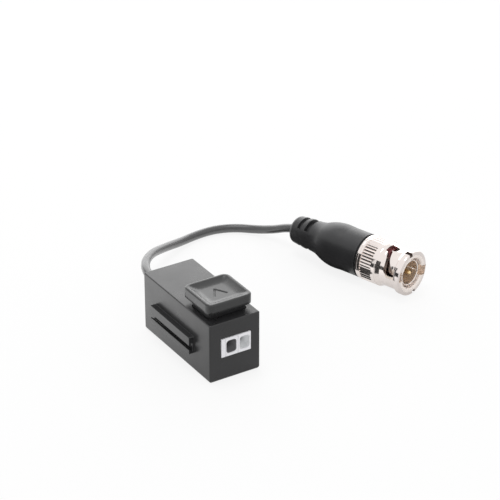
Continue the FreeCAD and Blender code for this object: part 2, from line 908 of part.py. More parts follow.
def make_wire_funnel(side):
    """A liner in one wire entry that narrows towards the clamp."""
    pole = POLES[side]
    body = new_body("wire_funnel_" + side)
    mouth = nose_front + d.funnel_sink
    sections = (
        (d.entry_width / 2 - d.funnel_gap, d.entry_height / 2 - d.funnel_gap, d.entry_corner - d.funnel_gap),
        (
            d.entry_width / 2 - d.funnel_gap - d.funnel_rim,
            d.entry_height / 2 - d.funnel_gap - d.funnel_rim,
            d.entry_corner - d.funnel_gap - d.funnel_rim,
        ),
        (d.throat_width / 2, d.throat_height / 2, d.throat_corner),
    )
    depths = (mouth, mouth, mouth + d.funnel_length)
    sketches = []
    for (across, high, corner), depth in zip(sections, depths):
        sketch = new_sketch(body, "XZ_Plane", offset=-depth)
        rounded_rectangle(
            sketch, pole - across, pole + across, entry_centre - high, entry_centre + high, corner,
        )
        sketches.append(sketch)
    pad(body, sketches[0], d.funnel_length, backwards=True)
    taper = new_feature(body, "SubtractiveLoft", sketches[1])
    taper.Sections = [sketches[2]]
    taper.Ruled = True


def make_contact_bar(side):
    """A bar with a tongue over the wire and a tail through the board."""
    body = new_body("contact_bar_" + side, across=POLES[side] + d.bar_offset)
    profile = new_sketch(body, "YZ_Plane")
    tail_end = board_bottom - d.tail_length
    tongue_front = bar_back - d.bar_tongue
    outline(profile, [
        (bar_front, tail_end),
        (bar_back, tail_end),
        (bar_back, bar_top),
        (tongue_front, bar_top),
        (tongue_front, bar_top - d.bar_thickness),
        (bar_front, bar_top - d.bar_thickness),
    ])
    pad(body, profile, d.bar_width, both_ways=True)


def make_clamp_spring(side):
    """A leaf bent round in a loop, whose leg presses the wire up against the bar."""
    body = new_body("clamp_spring_" + side, across=POLES[side])
    profile = new_sketch(body, "YZ_Plane")
    along_share = cosine(d.leaf_angle)
    up_share = sine(d.leaf_angle)
    leg_along = -up_share * d.leaf_leg
    leg_up = along_share * d.leaf_leg
    base_front = loop_along - d.leaf_base
    outer_turn = (loop_along + along_share * loop_outer, loop_height + up_share * loop_outer)
    inner_turn = (loop_along + along_share * loop_inner, loop_height + up_share * loop_inner)
    outline(profile, [
        (base_front, loop_height - loop_outer),
        (loop_along, loop_height - loop_outer),
        (outer_turn[0], outer_turn[1], loop_outer),
        (outer_turn[0] + leg_along, outer_turn[1] + leg_up),
        (inner_turn[0] + leg_along, inner_turn[1] + leg_up),
        inner_turn,
        (loop_along, loop_height - loop_inner, -loop_inner),
        (base_front, loop_height - loop_inner),
    ])
    pad(body, profile, d.leaf_width, both_ways=True)


# Push button and its spring

def make_push_button():
    body = new_body("push_button")
    cap = new_sketch(body, "XY_Plane", offset=cap_bottom)
    rounded_rectangle(cap, cap_left, cap_right, cap_front, cap_back, d.cap_corner)
    pad(body, cap, d.cap_height)
    fillet(body, d.cap_round, lambda box: near(box.ZMin, cap_top))

    # Dished top: it falls steeply inside the rim and runs out on a flat floor
    dish = []
    floor_corner = d.dish_floor_corner
    steps = (
        (d.dish_rim, as_size(0), d.cap_corner - d.dish_rim / 2),
        (d.dish_rim + d.dish_shoulder_step, d.dish_shoulder, (d.cap_corner + floor_corner) / 2),
        (d.dish_rim + d.dish_floor_step, d.dish_depth, floor_corner),
    )
    for inset, depth, corner in steps:
        section = new_sketch(body, "XY_Plane", offset=cap_top - depth)
        rounded_rectangle(
            section, cap_left + inset, cap_right - inset, cap_front + inset, cap_back - inset, corner,
        )
        dish.append(section)
    scoop = new_feature(body, "SubtractiveLoft", dish[0])
    scoop.Sections = dish[1:]
    scoop.Ruled = True

    # Chevron that points towards the cable
    chevron = new_sketch(body, "XY_Plane", offset=cap_top - d.dish_depth)
    tip = cap_middle + d.chevron_reach
    tail = tip - d.chevron_length
    left = d.terminal_centre - d.chevron_half_width
    right = d.terminal_centre + d.chevron_half_width
    outline(chevron, [
        (d.terminal_centre, tip),
        (left, tail),
        (left, tail - d.chevron_stroke),
        (d.terminal_centre, tip - d.chevron_stroke),
        (right, tail - d.chevron_stroke),
        (right, tail),
    ])
    pocket(body, chevron, d.chevron_depth)

    hollow = new_sketch(body, "XY_Plane", offset=cap_bottom)
    rounded_rectangle(
        hollow,
        cap_left + d.cap_wall,
        cap_right - d.cap_wall,
        cap_front + d.cap_wall,
        cap_back - d.cap_wall,
        d.plunger_corner,
    )
    pocket(body, hollow, d.cap_hollow, backwards=True)

    # Plunger, a rectangular tube that passes through the housing's opening
    plunger = new_sketch(body, "XY_Plane", offset=plunger_bottom)
    reach = d.plunger_width / 2
    wall = d.plunger_wall
    rounded_rectangle(plunger, -reach, reach, plunger_front, plunger_back, d.plunger_corner)
    rectangle(plunger, wall - reach, reach - wall, plunger_front + wall, plunger_back - wall)
    pad(body, plunger, cap_ceiling - plunger_bottom)

    # Catches that keep the plunger in the opening
    middle = plunger_front + d.plunger_length / 2
    for sign in (-1, 1):
        catch = new_sketch(body, "XZ_Plane", offset=-middle)
        outline(catch, [
            ((reach - wall / 2) * sign, plunger_bottom),
            (reach * sign, plunger_bottom),
            ((reach + d.catch_reach) * sign, catch_top - d.catch_flat),
            ((reach + d.catch_reach) * sign, catch_top),
            ((reach - wall / 2) * sign, catch_top),
        ])
        pad(body, catch, d.catch_length, both_ways=True)

    # Fingers that push the clamps open, and the seat of the return spring
    fingers = new_sketch(body, "XY_Plane", offset=cap_ceiling)
    for pole in POLES.values():
        edge = pole - d.finger_offset - d.finger_width / 2
        rectangle(fingers, edge, edge + d.finger_width, loop_along - d.finger_depth, loop_along)
    pad(body, fingers, cap_ceiling - finger_bottom, backwards=True)
    spigot = new_sketch(body, "XY_Plane", offset=cap_ceiling)
    circle(spigot, d.terminal_centre, spring_along, d.spigot_radius)
    pad(body, spigot, d.spigot_height, backwards=True)


def make_return_spring():
    body = new_body("return_spring", across=d.terminal_centre, along=spring_along, height=terminal_top)
    wire = new_sketch(body, "XZ_Plane")
    circle(wire, d.spring_radius, d.spring_wire / 2, d.spring_wire / 2)
    coil = new_feature(body, "AdditiveHelix", wire)
    coil.ReferenceAxis = (wire, ["V_Axis"])
    coil.Mode = "height-turns-angle"
    tie(coil, "Height", cap_ceiling - terminal_top - d.spring_wire)
    tie(coil, "Turns", d.spring_turns)


# Cable end and grommet

def make_cable_grommet():
    neck = d.grommet_hole_radius - d.grommet_neck_gap
    bore = cord_radius + d.grommet_bore_gap
    collar_end = back + d.grommet_collar
    body = revolve_body("cable_grommet", [
        (bore, inner_back - d.grommet_flange),
        (d.grommet_flange_radius, inner_back - d.grommet_flange),
        (d.grommet_flange_radius, inner_back),
        (neck, inner_back),
        (neck, back),
        (d.grommet_collar_radius, back),
        (d.grommet_collar_radius, collar_end),
        (d.grommet_root_radius, collar_end),
        (d.grommet_tip_radius, back + d.grommet_reach),
        (bore, back + d.grommet_reach),
    ], height=d.cable_height)

    # Two ring grooves that let it bend
    grooves = new_sketch(body, "XY_Plane")
    for number in range(2):
        start = back + d.grommet_groove_start + d.grommet_groove_pitch * number
        end = start + d.grommet_groove_width
        rectangle(grooves, d.grommet_groove_radius, d.grommet_collar_radius, start, end)
    turned(body, "Groove", grooves)


def make_cable_tail():
    """The cable's end inside the grommet, stripped to its core, which bends down to the board."""
    body = new_body("cable_tail")
    jacket = new_sketch(body, "XZ_Plane", offset=-strip_place)
    circle(jacket, 0, d.cable_height, cord_radius)
    pad(body, jacket, back + d.grommet_reach - strip_place, backwards=True)
    straight = new_sketch(body, "XZ_Plane", offset=-strip_place)
    circle(straight, 0, d.cable_height, d.core_wire_radius)
    pad(body, straight, d.core_wire_length)
    elbow = new_sketch(body, "XZ_Plane", offset=-bend_place)
    circle(elbow, 0, d.core_wire_bend, d.core_wire_radius)
    drop_height = d.cable_height - d.core_wire_bend
    tie(elbow, "AttachmentOffset.Base.y", drop_height)
    turned(body, "Revolution", elbow, QUARTER_TURN, "H_Axis").Reversed = False
    drop = new_sketch(body, "XY_Plane", offset=drop_height)
    circle(drop, 0, bend_place - d.core_wire_bend, d.core_wire_radius)
    pad(body, drop, drop_height - board_top, backwards=True)


# Coupling ring and the pieces of the plug

def make_coupling_ring():
    body = new_body("coupling_ring", **PLUG_PLACE)
    profile = new_sketch(body, "XY_Plane")
    edge = d.ring_flange_round
    chamfer = d.ring_chamfer
    flange = d.ring_flange_radius
    outline(profile, [
        (d.ring_bore_radius + chamfer, d.ring_front),
        (flange - edge, d.ring_front),
        (flange, d.ring_front + edge, edge),
        (flange, d.ring_flange - edge),
        (flange - edge, d.ring_flange, edge),
        (d.ring_barrel_radius, d.ring_neck_start, -d.ring_neck_curve),
        (d.ring_barrel_radius, d.ring_cone_start),
        (d.ring_cone_radius, d.ring_cone_end),
        (flange, d.ring_band_start),
        (flange, d.ring_length - chamfer),
        (flange - chamfer, d.ring_length),
        (d.ring_chamber_radius, d.ring_length),
        (d.ring_chamber_radius, d.chamber_start),
        (d.ring_bore_radius, d.chamber_start),
        (d.ring_bore_radius, d.gasket_groove_end),
        (d.gasket_groove_radius, d.gasket_groove_end),
        (d.gasket_groove_radius, d.gasket_groove_start),
        (d.ring_bore_radius, d.gasket_groove_start),
        (d.ring_bore_radius, d.ring_front + chamfer),
    ])
    turned(body, "Revolution", profile)

    # Knurl: straight V grooves all round
    groove = new_sketch(body, "XZ_Plane", offset=-d.knurl_start)
    spread = d.knurl_depth * 2 * sine(d.knurl_half_angle) / cosine(d.knurl_half_angle)
    outline(groove, [
        (0, flange - d.knurl_depth),
        (spread, flange + d.knurl_depth),
        (-spread, flange + d.knurl_depth),
    ])
    rib = pocket(body, groove, d.knurl_length)
    round_pattern(body, rib, d.knurl_count)

    # Entry notches through the flange and the channels behind them, one on each side
    half = d.notch_width / 2
    for reach, depth in ((d.notch_radius, d.notch_depth), (d.channel_radius, d.channel_depth)):
        notch = new_sketch(body, "XZ_Plane", offset=-d.ring_front, turn=d.notch_turn, about=(0, 0, 1))
        rectangle(notch, -reach, reach, -half, half)
        pocket(body, notch, depth)

    # Two bayonet slots: a round seat for the lug, a level run, and the ramp that leads to it
    for side in (0, 180):
        seat_turn = d.detent_turn + (side - QUARTER_TURN)
        seat = new_sketch(body, "XY_Plane", turn=seat_turn)
        circle(seat, 0, d.detent_place, d.detent_radius)
        pocket(body, seat, d.slot_reach, backwards=True)
        level = new_sketch(body, "XY_Plane", turn=seat_turn)
        rectangle(level, d.level_near_side, d.level_far_side, d.level_front, d.level_back)
        pocket(body, level, d.slot_reach, backwards=True)
        ramp = new_sketch(body, "YZ_Plane", turn=d.slot_turn + side, about=(1, 0, 0))
        outline(ramp, [
            (d.slot_entry, d.slot_near_side),
            (d.slot_back_start, d.slot_near_side),
            (d.slot_back_bend, d.slot_back_bend_side),
            (d.slot_back_middle, d.slot_back_middle_side),
            (d.slot_back_end, d.slot_far_side),
            (d.slot_crest_place, d.slot_far_side),
            (d.slot_crest_place, d.slot_crest_side),
            (d.slot_second_place, d.slot_second_side),
            (d.slot_first_place, d.slot_first_side),
        ])
        pocket(body, ramp, d.slot_reach)

    # Two nicks across the flange's rim
    nick = new_sketch(body, "XZ_Plane", offset=-d.ring_front, turn=d.nick_angle, about=(0, 0, 1))
    for sign in (-1, 1):
        low = (flange - d.nick_depth) * sign
        rectangle(nick, -d.nick_width / 2, d.nick_width / 2, low, (flange + d.nick_depth) * sign)
    pocket(body, nick, d.ring_flange - d.ring_front)


def make_retaining_ring():
    bore = d.neck_radius + d.turning_clearance
    spigot = d.ring_chamber_radius - d.retainer_gap
    chamfer = d.retainer_chamfer
    revolve_body("retaining_ring", [
        (bore, retainer_front),
        (spigot, retainer_front),
        (spigot, d.ring_length),
        (d.retainer_radius, d.ring_length),
        (d.retainer_radius, retainer_end - chamfer),
        (d.retainer_radius - chamfer, retainer_end),
        (bore, retainer_end),
    ], **PLUG_PLACE)


def make_plug_body():
    body = revolve_body("plug_body", [
        (d.tube_bore_radius, d.tube_front),
        (d.tube_radius - d.tube_chamfer, d.tube_front),
        (d.tube_radius, d.tube_front + d.tube_chamfer),
        (d.tube_radius, d.seat_start),
        (seat_radius, d.seat_start),
        (seat_radius, d.flange_start),
        (d.flange_radius, d.flange_start),
        (d.flange_radius, d.flange_start + d.flange_thickness),
        (d.neck_radius, d.flange_start + d.flange_thickness),
        (d.neck_radius, d.neck_end),
        (d.barrel_radius, d.neck_end),
        (d.barrel_radius, d.barrel_end),
        (d.barrel_bore_radius, d.barrel_end),
        (d.barrel_bore_radius, d.insulator_end),
        (d.insulator_radius, d.insulator_end),
        (d.insulator_radius, d.tube_depth),
        (d.tube_bore_radius, d.tube_depth),
    ], **PLUG_PLACE)

    # Four slits that let the contact tube spring
    for quarter in (0, 90):
        angle = d.slit_angle + quarter
        slit = new_sketch(body, "XZ_Plane", offset=-d.tube_front, turn=angle, about=(0, 0, 1))
        rectangle(slit, -seat_radius, seat_radius, -d.slit_width / 2, d.slit_width / 2)
        pocket(body, slit, d.slit_length)


def make_insulator():
    bore = d.contact_radius + d.plug_fit
    radius = d.insulator_radius - d.plug_fit
    revolve_body("insulator", [
        (bore, d.tube_depth),
        (radius, d.tube_depth),
        (radius, d.insulator_end),
        (bore, d.insulator_end),
    ], **PLUG_PLACE)


def make_centre_pin():
    shoulder = d.contact_front + d.contact_nose
    revolve_body("centre_pin", [
        (0, d.contact_front),
        (d.contact_radius, shoulder, d.contact_radius),
        (d.contact_radius, d.insulator_end),
        (d.contact_tail_radius, d.insulator_end),
        (d.contact_tail_radius, d.contact_end),
        (0, d.contact_end),
    ], **PLUG_PLACE)


def make_gasket():
    bore = d.tube_radius + d.plug_fit
    start = d.seat_start - d.gasket_length
    edge = d.gasket_round
    revolve_body("gasket", [
        (bore, start),
        (d.gasket_radius - edge, start),
        (d.gasket_radius, start + edge, edge),
        (d.gasket_radius, d.seat_start),
        (bore, d.seat_start),
    ], **PLUG_PLACE)


def make_spring_washer():
    """A cone that presses the body's flange away from the retaining ring."""
    start = d.flange_start + d.flange_thickness + d.washer_slack
    end = retainer_front - d.washer_slack
    inner = d.neck_radius + d.washer_clearance
    outer = d.ring_chamber_radius - d.turning_clearance
    revolve_body("spring_washer", [
        (outer, start),
        (outer, start + d.washer_thickness),
        (inner, end),
        (inner, end - d.washer_thickness),
    ], **PLUG_PLACE)


def make_crimp_ferrule():
    bore = d.barrel_radius + d.plug_fit
    radius = bore + d.ferrule_wall
    revolve_body("crimp_ferrule", [
        (bore, d.ferrule_start),
        (radius, d.ferrule_start),
        (radius, d.ferrule_end),
        (bore, d.ferrule_end),
    ], **PLUG_PLACE)


def make_plug_boot():
    edge = d.boot_front_round
    neck = d.neck_radius + d.boot_fit
    sleeve = d.barrel_radius + d.plug_fit + d.ferrule_wall + d.boot_fit
    front_radius = d.boot_front_radius
    body = revolve_body("plug_boot", [
        (neck, boot_front),
        (front_radius - edge, boot_front),
        (front_radius, boot_front + edge, edge),
        (front_radius, d.boot_step),
        (d.boot_widest_radius, d.boot_step + d.boot_fit),
        (d.boot_widest_radius, d.shoulder_start),
        (d.shoulder_end_radius, d.shoulder_end, d.shoulder_curve),
        (d.waist_radius, d.waist_start, -d.waist_curve),
        (d.waist_radius, d.waist_start + d.relief_width),
        (d.tail_start_radius, d.second_relief + d.second_relief_width),
        (d.tail_bend_radius, d.tail_bend),
        (d.boot_end_radius, d.boot_end, d.tail_curve),
        (0, d.boot_end),
        (0, d.ferrule_end + d.boot_fit),
        (sleeve, d.ferrule_end + d.boot_fit),
        (sleeve, d.neck_end + d.boot_fit),
        (neck, d.neck_end + d.boot_fit),
    ], **PLUG_PLACE)

    # Strain relief: two pairs of grooves, over the top and under the bottom
    reliefs = ((d.waist_start, d.relief_width), (d.second_relief, d.second_relief_width))
    for start, width in reliefs:
        for sign in (-1, 1):
            relief = new_sketch(body, "YZ_Plane")
            floor = d.relief_floor_radius * sign
            rectangle(relief, start, start + width, floor, d.ring_flange_radius * sign)
            turned(body, "Groove", relief, d.relief_angle, "H_Axis", both_ways=True)


# Free cord: straight runs joined by tangent arcs

def make_cord_tube():
    points = [Vector(*place) for place in CORD_ROUTE]
    radius = d.cord_diameter.value / 2
    edges = []
    start = points[0]
    radii = []
    for before, corner, after in zip(points, points[1:], points[2:]):
        arriving = corner - before
        leaving = after - corner
        half_turn = arriving.getAngle(leaving) / 2
        reach = ARC_SHARE * min(arriving.Length, leaving.Length)
        bend_radius = reach / math.tan(half_turn)
        radii.append(round(bend_radius, 1))
        arriving.normalize()
        leaving.normalize()
        first = corner - arriving * reach
        last = corner + leaving * reach
        inward = leaving - arriving
        inward.normalize()
        middle = corner + inward * (bend_radius / math.cos(half_turn) - bend_radius)
        edges.append(Part.LineSegment(start, first).toShape())
        edges.append(Part.Arc(first, middle, last).toShape())
        start = last
    edges.append(Part.LineSegment(start, points[-1]).toShape())
    path = Part.Wire(edges)
    section = Part.Wire(Part.makeCircle(radius, points[0], points[1] - points[0]))
    tube = path.makePipeShell([section], True, True)
    expected = math.pi * radius ** 2 * path.Length
    if abs(tube.Volume - expected) > 0.01 * expected:
        raise RuntimeError("cord_tube has volume %.1f, expected %.1f" % (tube.Volume, expected))
    cord = doc.addObject("Part::Feature", "cord_tube")
    cord.Label = "cord_tube"
    cord.Shape = tube
    print("cord bend radii", radii, "length %.2f" % path.Length)


def check_document():
    """Stop on any failed object, bad shape or cut that removes nothing."""
    for item in doc.Objects:
        if "Invalid" in item.State or "Error" in item.State:
            raise RuntimeError("%s failed: %s" % (item.Label, item.State))
        if item.TypeId.split("::")[1] in ("Pocket", "Groove", "SubtractiveHelix", "SubtractiveLoft"):
            if item.Shape.Volume > item.BaseFeature.Shape.Volume - 1e-6:
                raise RuntimeError("%s cuts nothing" % item.Name)


def sub_parts():
    return [item for item in doc.Objects if item.TypeId in ("PartDesign::Body", "Part::Feature")]


def export_parts():
    for item in sub_parts():
        if item.Shape.isNull() or not item.Shape.isValid():
            raise RuntimeError("%s has no valid shape" % item.Label)
    os.makedirs("parts", exist_ok=True)
    for item in sub_parts():
        item.Shape.exportStep("parts/%s.step" % item.Label)


make_housing_shell()
make_base_cover()
make_circuit_board()
make_toroid()
make_chip(
    "surge_suppressor", d.suppressor_across, inner_back - d.suppressor_from_back,
    d.suppressor_width, d.suppressor_length, d.suppressor_height, d.chip_cap,
)
make_chip(
    "smd_capacitor", d.chip_across, inner_back - d.capacitor_from_back,
    d.chip_length, d.chip_width, d.capacitor_height, d.chip_cap,
)
make_chip(
    "smd_resistor", d.chip_across, inner_back - d.resistor_from_back,
    d.chip_length, d.chip_width, d.resistor_height, d.chip_cap,
)
make_terminal_block()
for pole_side in POLES:
    make_wire_funnel(pole_side)
    make_contact_bar(pole_side)
    make_clamp_spring(pole_side)
make_push_button()
make_return_spring()
make_cable_grommet()
make_cable_tail()
make_cord_tube()
make_coupling_ring()
make_retaining_ring()
make_plug_body()
make_insulator()
make_centre_pin()
make_gasket()
make_spring_washer()
make_crimp_ferrule()
make_plug_boot()

doc.recompute()
check_document()
export_parts()
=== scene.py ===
"""Looks of a video balun: its surfaces, pigtail, finishes, lights and camera, built round the frame."""
import functools
import json
import math

import bmesh
import bpy
import numpy as np
from bpy.props import FloatProperty, FloatVectorProperty, IntProperty, PointerProperty
from mathutils import Matrix, Vector


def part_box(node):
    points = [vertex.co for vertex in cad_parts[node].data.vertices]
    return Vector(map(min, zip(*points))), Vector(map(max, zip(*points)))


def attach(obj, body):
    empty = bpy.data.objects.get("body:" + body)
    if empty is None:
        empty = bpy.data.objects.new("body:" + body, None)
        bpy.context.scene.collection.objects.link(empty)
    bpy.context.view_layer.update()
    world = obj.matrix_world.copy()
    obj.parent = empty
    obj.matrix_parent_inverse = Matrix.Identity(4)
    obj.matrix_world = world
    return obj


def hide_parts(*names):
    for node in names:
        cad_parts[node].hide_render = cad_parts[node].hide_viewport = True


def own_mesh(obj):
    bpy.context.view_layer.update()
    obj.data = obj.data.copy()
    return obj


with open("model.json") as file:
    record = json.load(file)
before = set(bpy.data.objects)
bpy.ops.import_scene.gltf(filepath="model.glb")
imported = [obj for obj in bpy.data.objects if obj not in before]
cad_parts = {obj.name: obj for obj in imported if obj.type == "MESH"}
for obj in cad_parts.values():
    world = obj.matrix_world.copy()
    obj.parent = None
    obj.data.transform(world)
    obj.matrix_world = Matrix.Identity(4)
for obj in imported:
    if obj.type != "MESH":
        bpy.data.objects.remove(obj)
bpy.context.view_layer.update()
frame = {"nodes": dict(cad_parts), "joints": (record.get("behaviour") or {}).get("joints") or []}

bl_info = {
    "name": "Video balun looks",
    "version": (1, 0, 0),
    "blender": (4, 5, 0),
    "location": "3D Viewport > Sidebar > Balun",
    "description": "Builds the surfaces, finishes, pigtail and stage of a video balun",
    "category": "Object",
}

MM = 0.001
UNIT = "unit"
BUTTON = "button"
RING = "ring"

# The plug's own axes: a place on its axis inside the mouth, and the way out of the mouth
PLUG_JOINT = next(joint for joint in frame["joints"] if joint["name"] == "coupling_ring_turn")
PLUG_ORIGIN = np.array(PLUG_JOINT["pos_m"])
PLUG_OUT = np.array(PLUG_JOINT["axis"])
PLUG_TURN = math.atan2(PLUG_OUT[0], -PLUG_OUT[1])
PLUG_FRAME = (PLUG_ORIGIN, -PLUG_OUT)

# Places that several pieces read from the frame, in metres
BUTTON_LOW, BUTTON_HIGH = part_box("push_button")
GROMMET_LOW, GROMMET_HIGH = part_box("cable_grommet")
CABLE_FRAME = (np.array([0.0, 0.0, (GROMMET_LOW.z + GROMMET_HIGH.z) / 2]), np.array([0.0, 1.0, 0.0]))


# Settings that a user would change

COLOUR = {"size": 3, "min": 0.0, "max": 1.0, "subtype": "COLOR"}
FACTOR = {"min": 0.0, "max": 1.0, "subtype": "FACTOR"}
LENGTH = {"unit": "LENGTH", "precision": 5}


class HousingSettings(bpy.types.PropertyGroup):
    """Finish of the black moulded box."""

    edge: FloatProperty(
        name="Edge softness", description="Width of the small bevel on moulded edges",
        default=0.00009, min=0.0, **LENGTH)
    colour: FloatVectorProperty(
        name="Plastic", description="Colour of the black moulded plastic",
        default=(0.021, 0.021, 0.022), **COLOUR)
    roughness: FloatProperty(
        name="Roughness", description="How matt the black plastic is",
        default=0.3, **FACTOR)


class ButtonSettings(bpy.types.PropertyGroup):
    """Shape of the push button's cap."""

    corner: FloatProperty(
        name="Corner", description="Radius of the cap's upright corners",
        default=0.0022, min=0.0005, **LENGTH)
    rim: FloatProperty(
        name="Rim", description="Width of the rim round the dish",
        default=0.00105, min=0.0002, **LENGTH)
    dish: FloatProperty(
        name="Dish", description="Depth of the dished top",
        default=0.0009, min=0.0, **LENGTH)
    groove: FloatProperty(
        name="Chevron", description="Width of the chevron groove",
        default=0.0009, min=0.0001, **LENGTH)
    colour: FloatVectorProperty(
        name="Button plastic", description="Colour of the button",
        default=(0.024, 0.0245, 0.025), **COLOUR)


class CableSettings(bpy.types.PropertyGroup):
    """Pigtail and moulded boot."""

    diameter: FloatProperty(
        name="Cable diameter", description="Outer diameter of the pigtail",
        default=0.0028, min=0.001, **LENGTH)
    length: FloatProperty(
        name="Cable length", description="Free length between the grommet and the boot",
        default=0.0925, min=0.02, **LENGTH)
    jacket: FloatVectorProperty(
        name="Jacket", description="Colour of the cable's jacket",
        default=(0.05, 0.05, 0.051), **COLOUR)
    boot: FloatVectorProperty(
        name="Boot", description="Colour of the moulded boot",
        default=(0.024, 0.024, 0.0255), **COLOUR)


class PlugSettings(bpy.types.PropertyGroup):
    """Finish and fineness of the bayonet plug."""

    knurls: IntProperty(
        name="Knurls", description="Number of straight grooves round the coupling ring",
        default=44, min=12, max=90)
    nickel: FloatVectorProperty(
        name="Nickel", description="Colour of the plated metal",
        default=(0.86, 0.79, 0.755), **COLOUR)
    polish: FloatProperty(
        name="Polish", description="Roughness of the plated metal",
        default=0.13, **FACTOR)


class StageSettings(bpy.types.PropertyGroup):
    """Camera, lamps and surroundings."""

    turn: FloatProperty(
        name="Azimuth", description="Camera's turn round the object",
        default=math.radians(-32.08), subtype="ANGLE")
    rise: FloatProperty(
        name="Elevation", description="Camera's angle above the floor",
        default=math.radians(28.33), subtype="ANGLE")
    distance: FloatProperty(
        name="Distance", description="From the camera to the point it looks at",
        default=0.682, min=0.1, unit="LENGTH")
    focal: FloatProperty(
        name="Focal length", description="Of the camera's lens, in millimetres",
        default=152.2, min=20.0)
    key: FloatProperty(
        name="Key", description="Power of the softbox overhead, in watts",
        default=1.4, min=0.0)
    rear: FloatProperty(
        name="Rear", description="Power of the wide softbox low behind the right, in watts",
        default=6.9, min=0.0)
    ambient: FloatProperty(
        name="Ambient", description="Strength of the white surroundings",
        default=0.75, min=0.0)


# Shapes worked out as arrays

def axes_of(place):
    """The rows right, back and up of a turned piece's own axes, from (origin, back)."""
    back = np.asarray(place[1], float)
    up = np.array([0.0, 0.0, 1.0])
    return np.stack([np.cross(back, up), back, up])


def placed(local, place):
    """Own coordinates (right, back, up) in metres, taken to the row's frame."""
    return local @ axes_of(place) + np.asarray(place[0])


def arc_between(first, last, radius, count):
    """Points on the arc of a radius from first to last: it turns left where the radius is positive."""
    way = last - first
    reach = math.hypot(way[0], way[1])
    side = math.copysign(math.sqrt(radius ** 2 - reach ** 2 / 4), radius)
    centre = (first + last) / 2 + np.array([-way[1], way[0]]) / reach * side
    start = math.atan2(*(first - centre)[::-1])
    sweep = 2 * math.asin(min(1.0, reach / 2 / abs(radius))) * math.copysign(1, radius)
    angles = start + sweep * np.linspace(0, 1, count + 1)[1:]
    return centre + abs(radius) * np.stack([np.cos(angles), np.sin(angles)], 1)


def profile(corners, arc_steps=8):
    """A polyline in metres through (radius, place) corners in millimetres.

    A corner's third number is the radius of the arc that leads to it.
    """
    points = [np.array([corners[0][:2]], float)]
    for before, corner in zip(corners, corners[1:]):
        first, last = np.array(before[:2], float), np.array(corner[:2], float)
        arc = len(corner) == 3
        points.append(arc_between(first, last, corner[2], arc_steps) if arc else last[None])
    return np.concatenate(points) * MM


def divided(line, step):
    """The same polyline with its long stretches divided evenly into steps no longer than the one given."""
    reach = np.hypot(*np.diff(line, axis=0).T)
    counts = np.maximum(1, np.ceil(reach / step).astype(int))
    owner = np.repeat(np.arange(len(counts)), counts)
    share = np.concatenate([np.arange(count) / count for count in counts])[:, None]
    inner = line[owner] * (1 - share) + line[owner + 1] * share
    return np.concatenate([inner, line[-1:]])


def turned(line, segments, cut=None, place=PLUG_FRAME):
    """A profile carried round an axis: radius r and place s at angle a become (r cos a, s, r sin a).

    cut(angle, s, radius) gives how far the radius is cut back there.
    """
    angles = np.linspace(0, 2 * np.pi, segments, endpoint=False)
    radius = np.repeat(line[:, :1], segments, 1)
    along = np.repeat(line[:, 1:], segments, 1)
    if cut is not None:
        radius = radius - cut(angles[None, :], along, radius)
    return placed(np.stack([radius * np.cos(angles), along, radius * np.sin(angles)], -1), place)


def rounded_outline(half_x, half_y, corner, corner_steps, side_steps):
    """Points round a rectangle with round corners; the sizes may be columns, one row for each outline.

    A point is the corner's centre, which moves along a straight side, plus the radius in its direction.
    """
    corners = np.array([(1, 1), (-1, 1), (-1, -1), (1, -1), (1, 1)])
    turn = np.linspace(0, np.pi / 2, corner_steps + 1)
    share = np.linspace(0, 1, side_steps + 1)[1:-1, None]
    angles, centres = [], []
    for quarter, (start, stop) in enumerate(zip(corners, corners[1:])):
        angles += [turn + quarter * np.pi / 2, np.full(len(share), (quarter + 1) * np.pi / 2)]
        centres += [np.tile(start, (len(turn), 1)), start + (stop - start) * share]
    angle, centre = np.concatenate(angles), np.concatenate(centres)
    x = centre[:, 0] * (half_x - corner) + corner * np.cos(angle)
    y = centre[:, 1] * (half_y - corner) + corner * np.sin(angle)
    return np.stack([x, y], -1)


def smooth_step(value):
    """Rises from 0 to 1 with no slope at either end."""
    value = np.clip(value, 0, 1)
    return value * value * (3 - 2 * value)


def distance_to_stroke(points, start, end):
    """How far points of the plane lie from the stretch between two places."""
    way = np.array(end) - np.array(start)
    share = np.clip(((points - start) @ way) / (way @ way), 0, 1)
    return np.linalg.norm(points - start - share[..., None] * way, axis=-1)


# Meshes and pieces

# Places nearer than this are one place, and an edge shorter than a speck is dissolved
MERGE_DISTANCE = 1e-7
SPECK_LENGTH = 1e-8
CAD_MERGE_DISTANCE = 2e-6
BEVEL_SEGMENTS = 2
BEVEL_ANGLE = math.radians(35)


def surface(points, round_columns=False):
    """A mesh over a grid of points, closed along its rows, with its poles merged.

    It is closed along its columns too where asked.
    """
    rows, columns = points.shape[:2]
    index = np.arange(rows * columns).reshape(rows, columns)
    index = np.concatenate([index, index[:, :1]], 1)
    if round_columns:
        index = np.concatenate([index, index[:1]], 0)
    faces = np.stack([index[:-1, :-1], index[1:, :-1], index[1:, 1:], index[:-1, 1:]], -1).reshape(-1, 4)
    mesh = bpy.data.meshes.new("surface")
    mesh.from_pydata(points.reshape(-1, 3).tolist(), [], faces.tolist())
    return mended([mesh])


def mended(meshes):
    """One mesh of several, with doubles merged, flat specks removed and all faces pointing out."""
    shape = bmesh.new()
    for mesh in meshes:
        shape.from_mesh(mesh)
        bpy.data.meshes.remove(mesh)
    bmesh.ops.remove_doubles(shape, verts=shape.verts, dist=MERGE_DISTANCE)
    bmesh.ops.dissolve_degenerate(shape, edges=shape.edges, dist=SPECK_LENGTH)
    bmesh.ops.recalc_face_normals(shape, faces=shape.faces)
    result = bpy.data.meshes.new("surface")
    shape.to_mesh(result)
    shape.free()
    return result


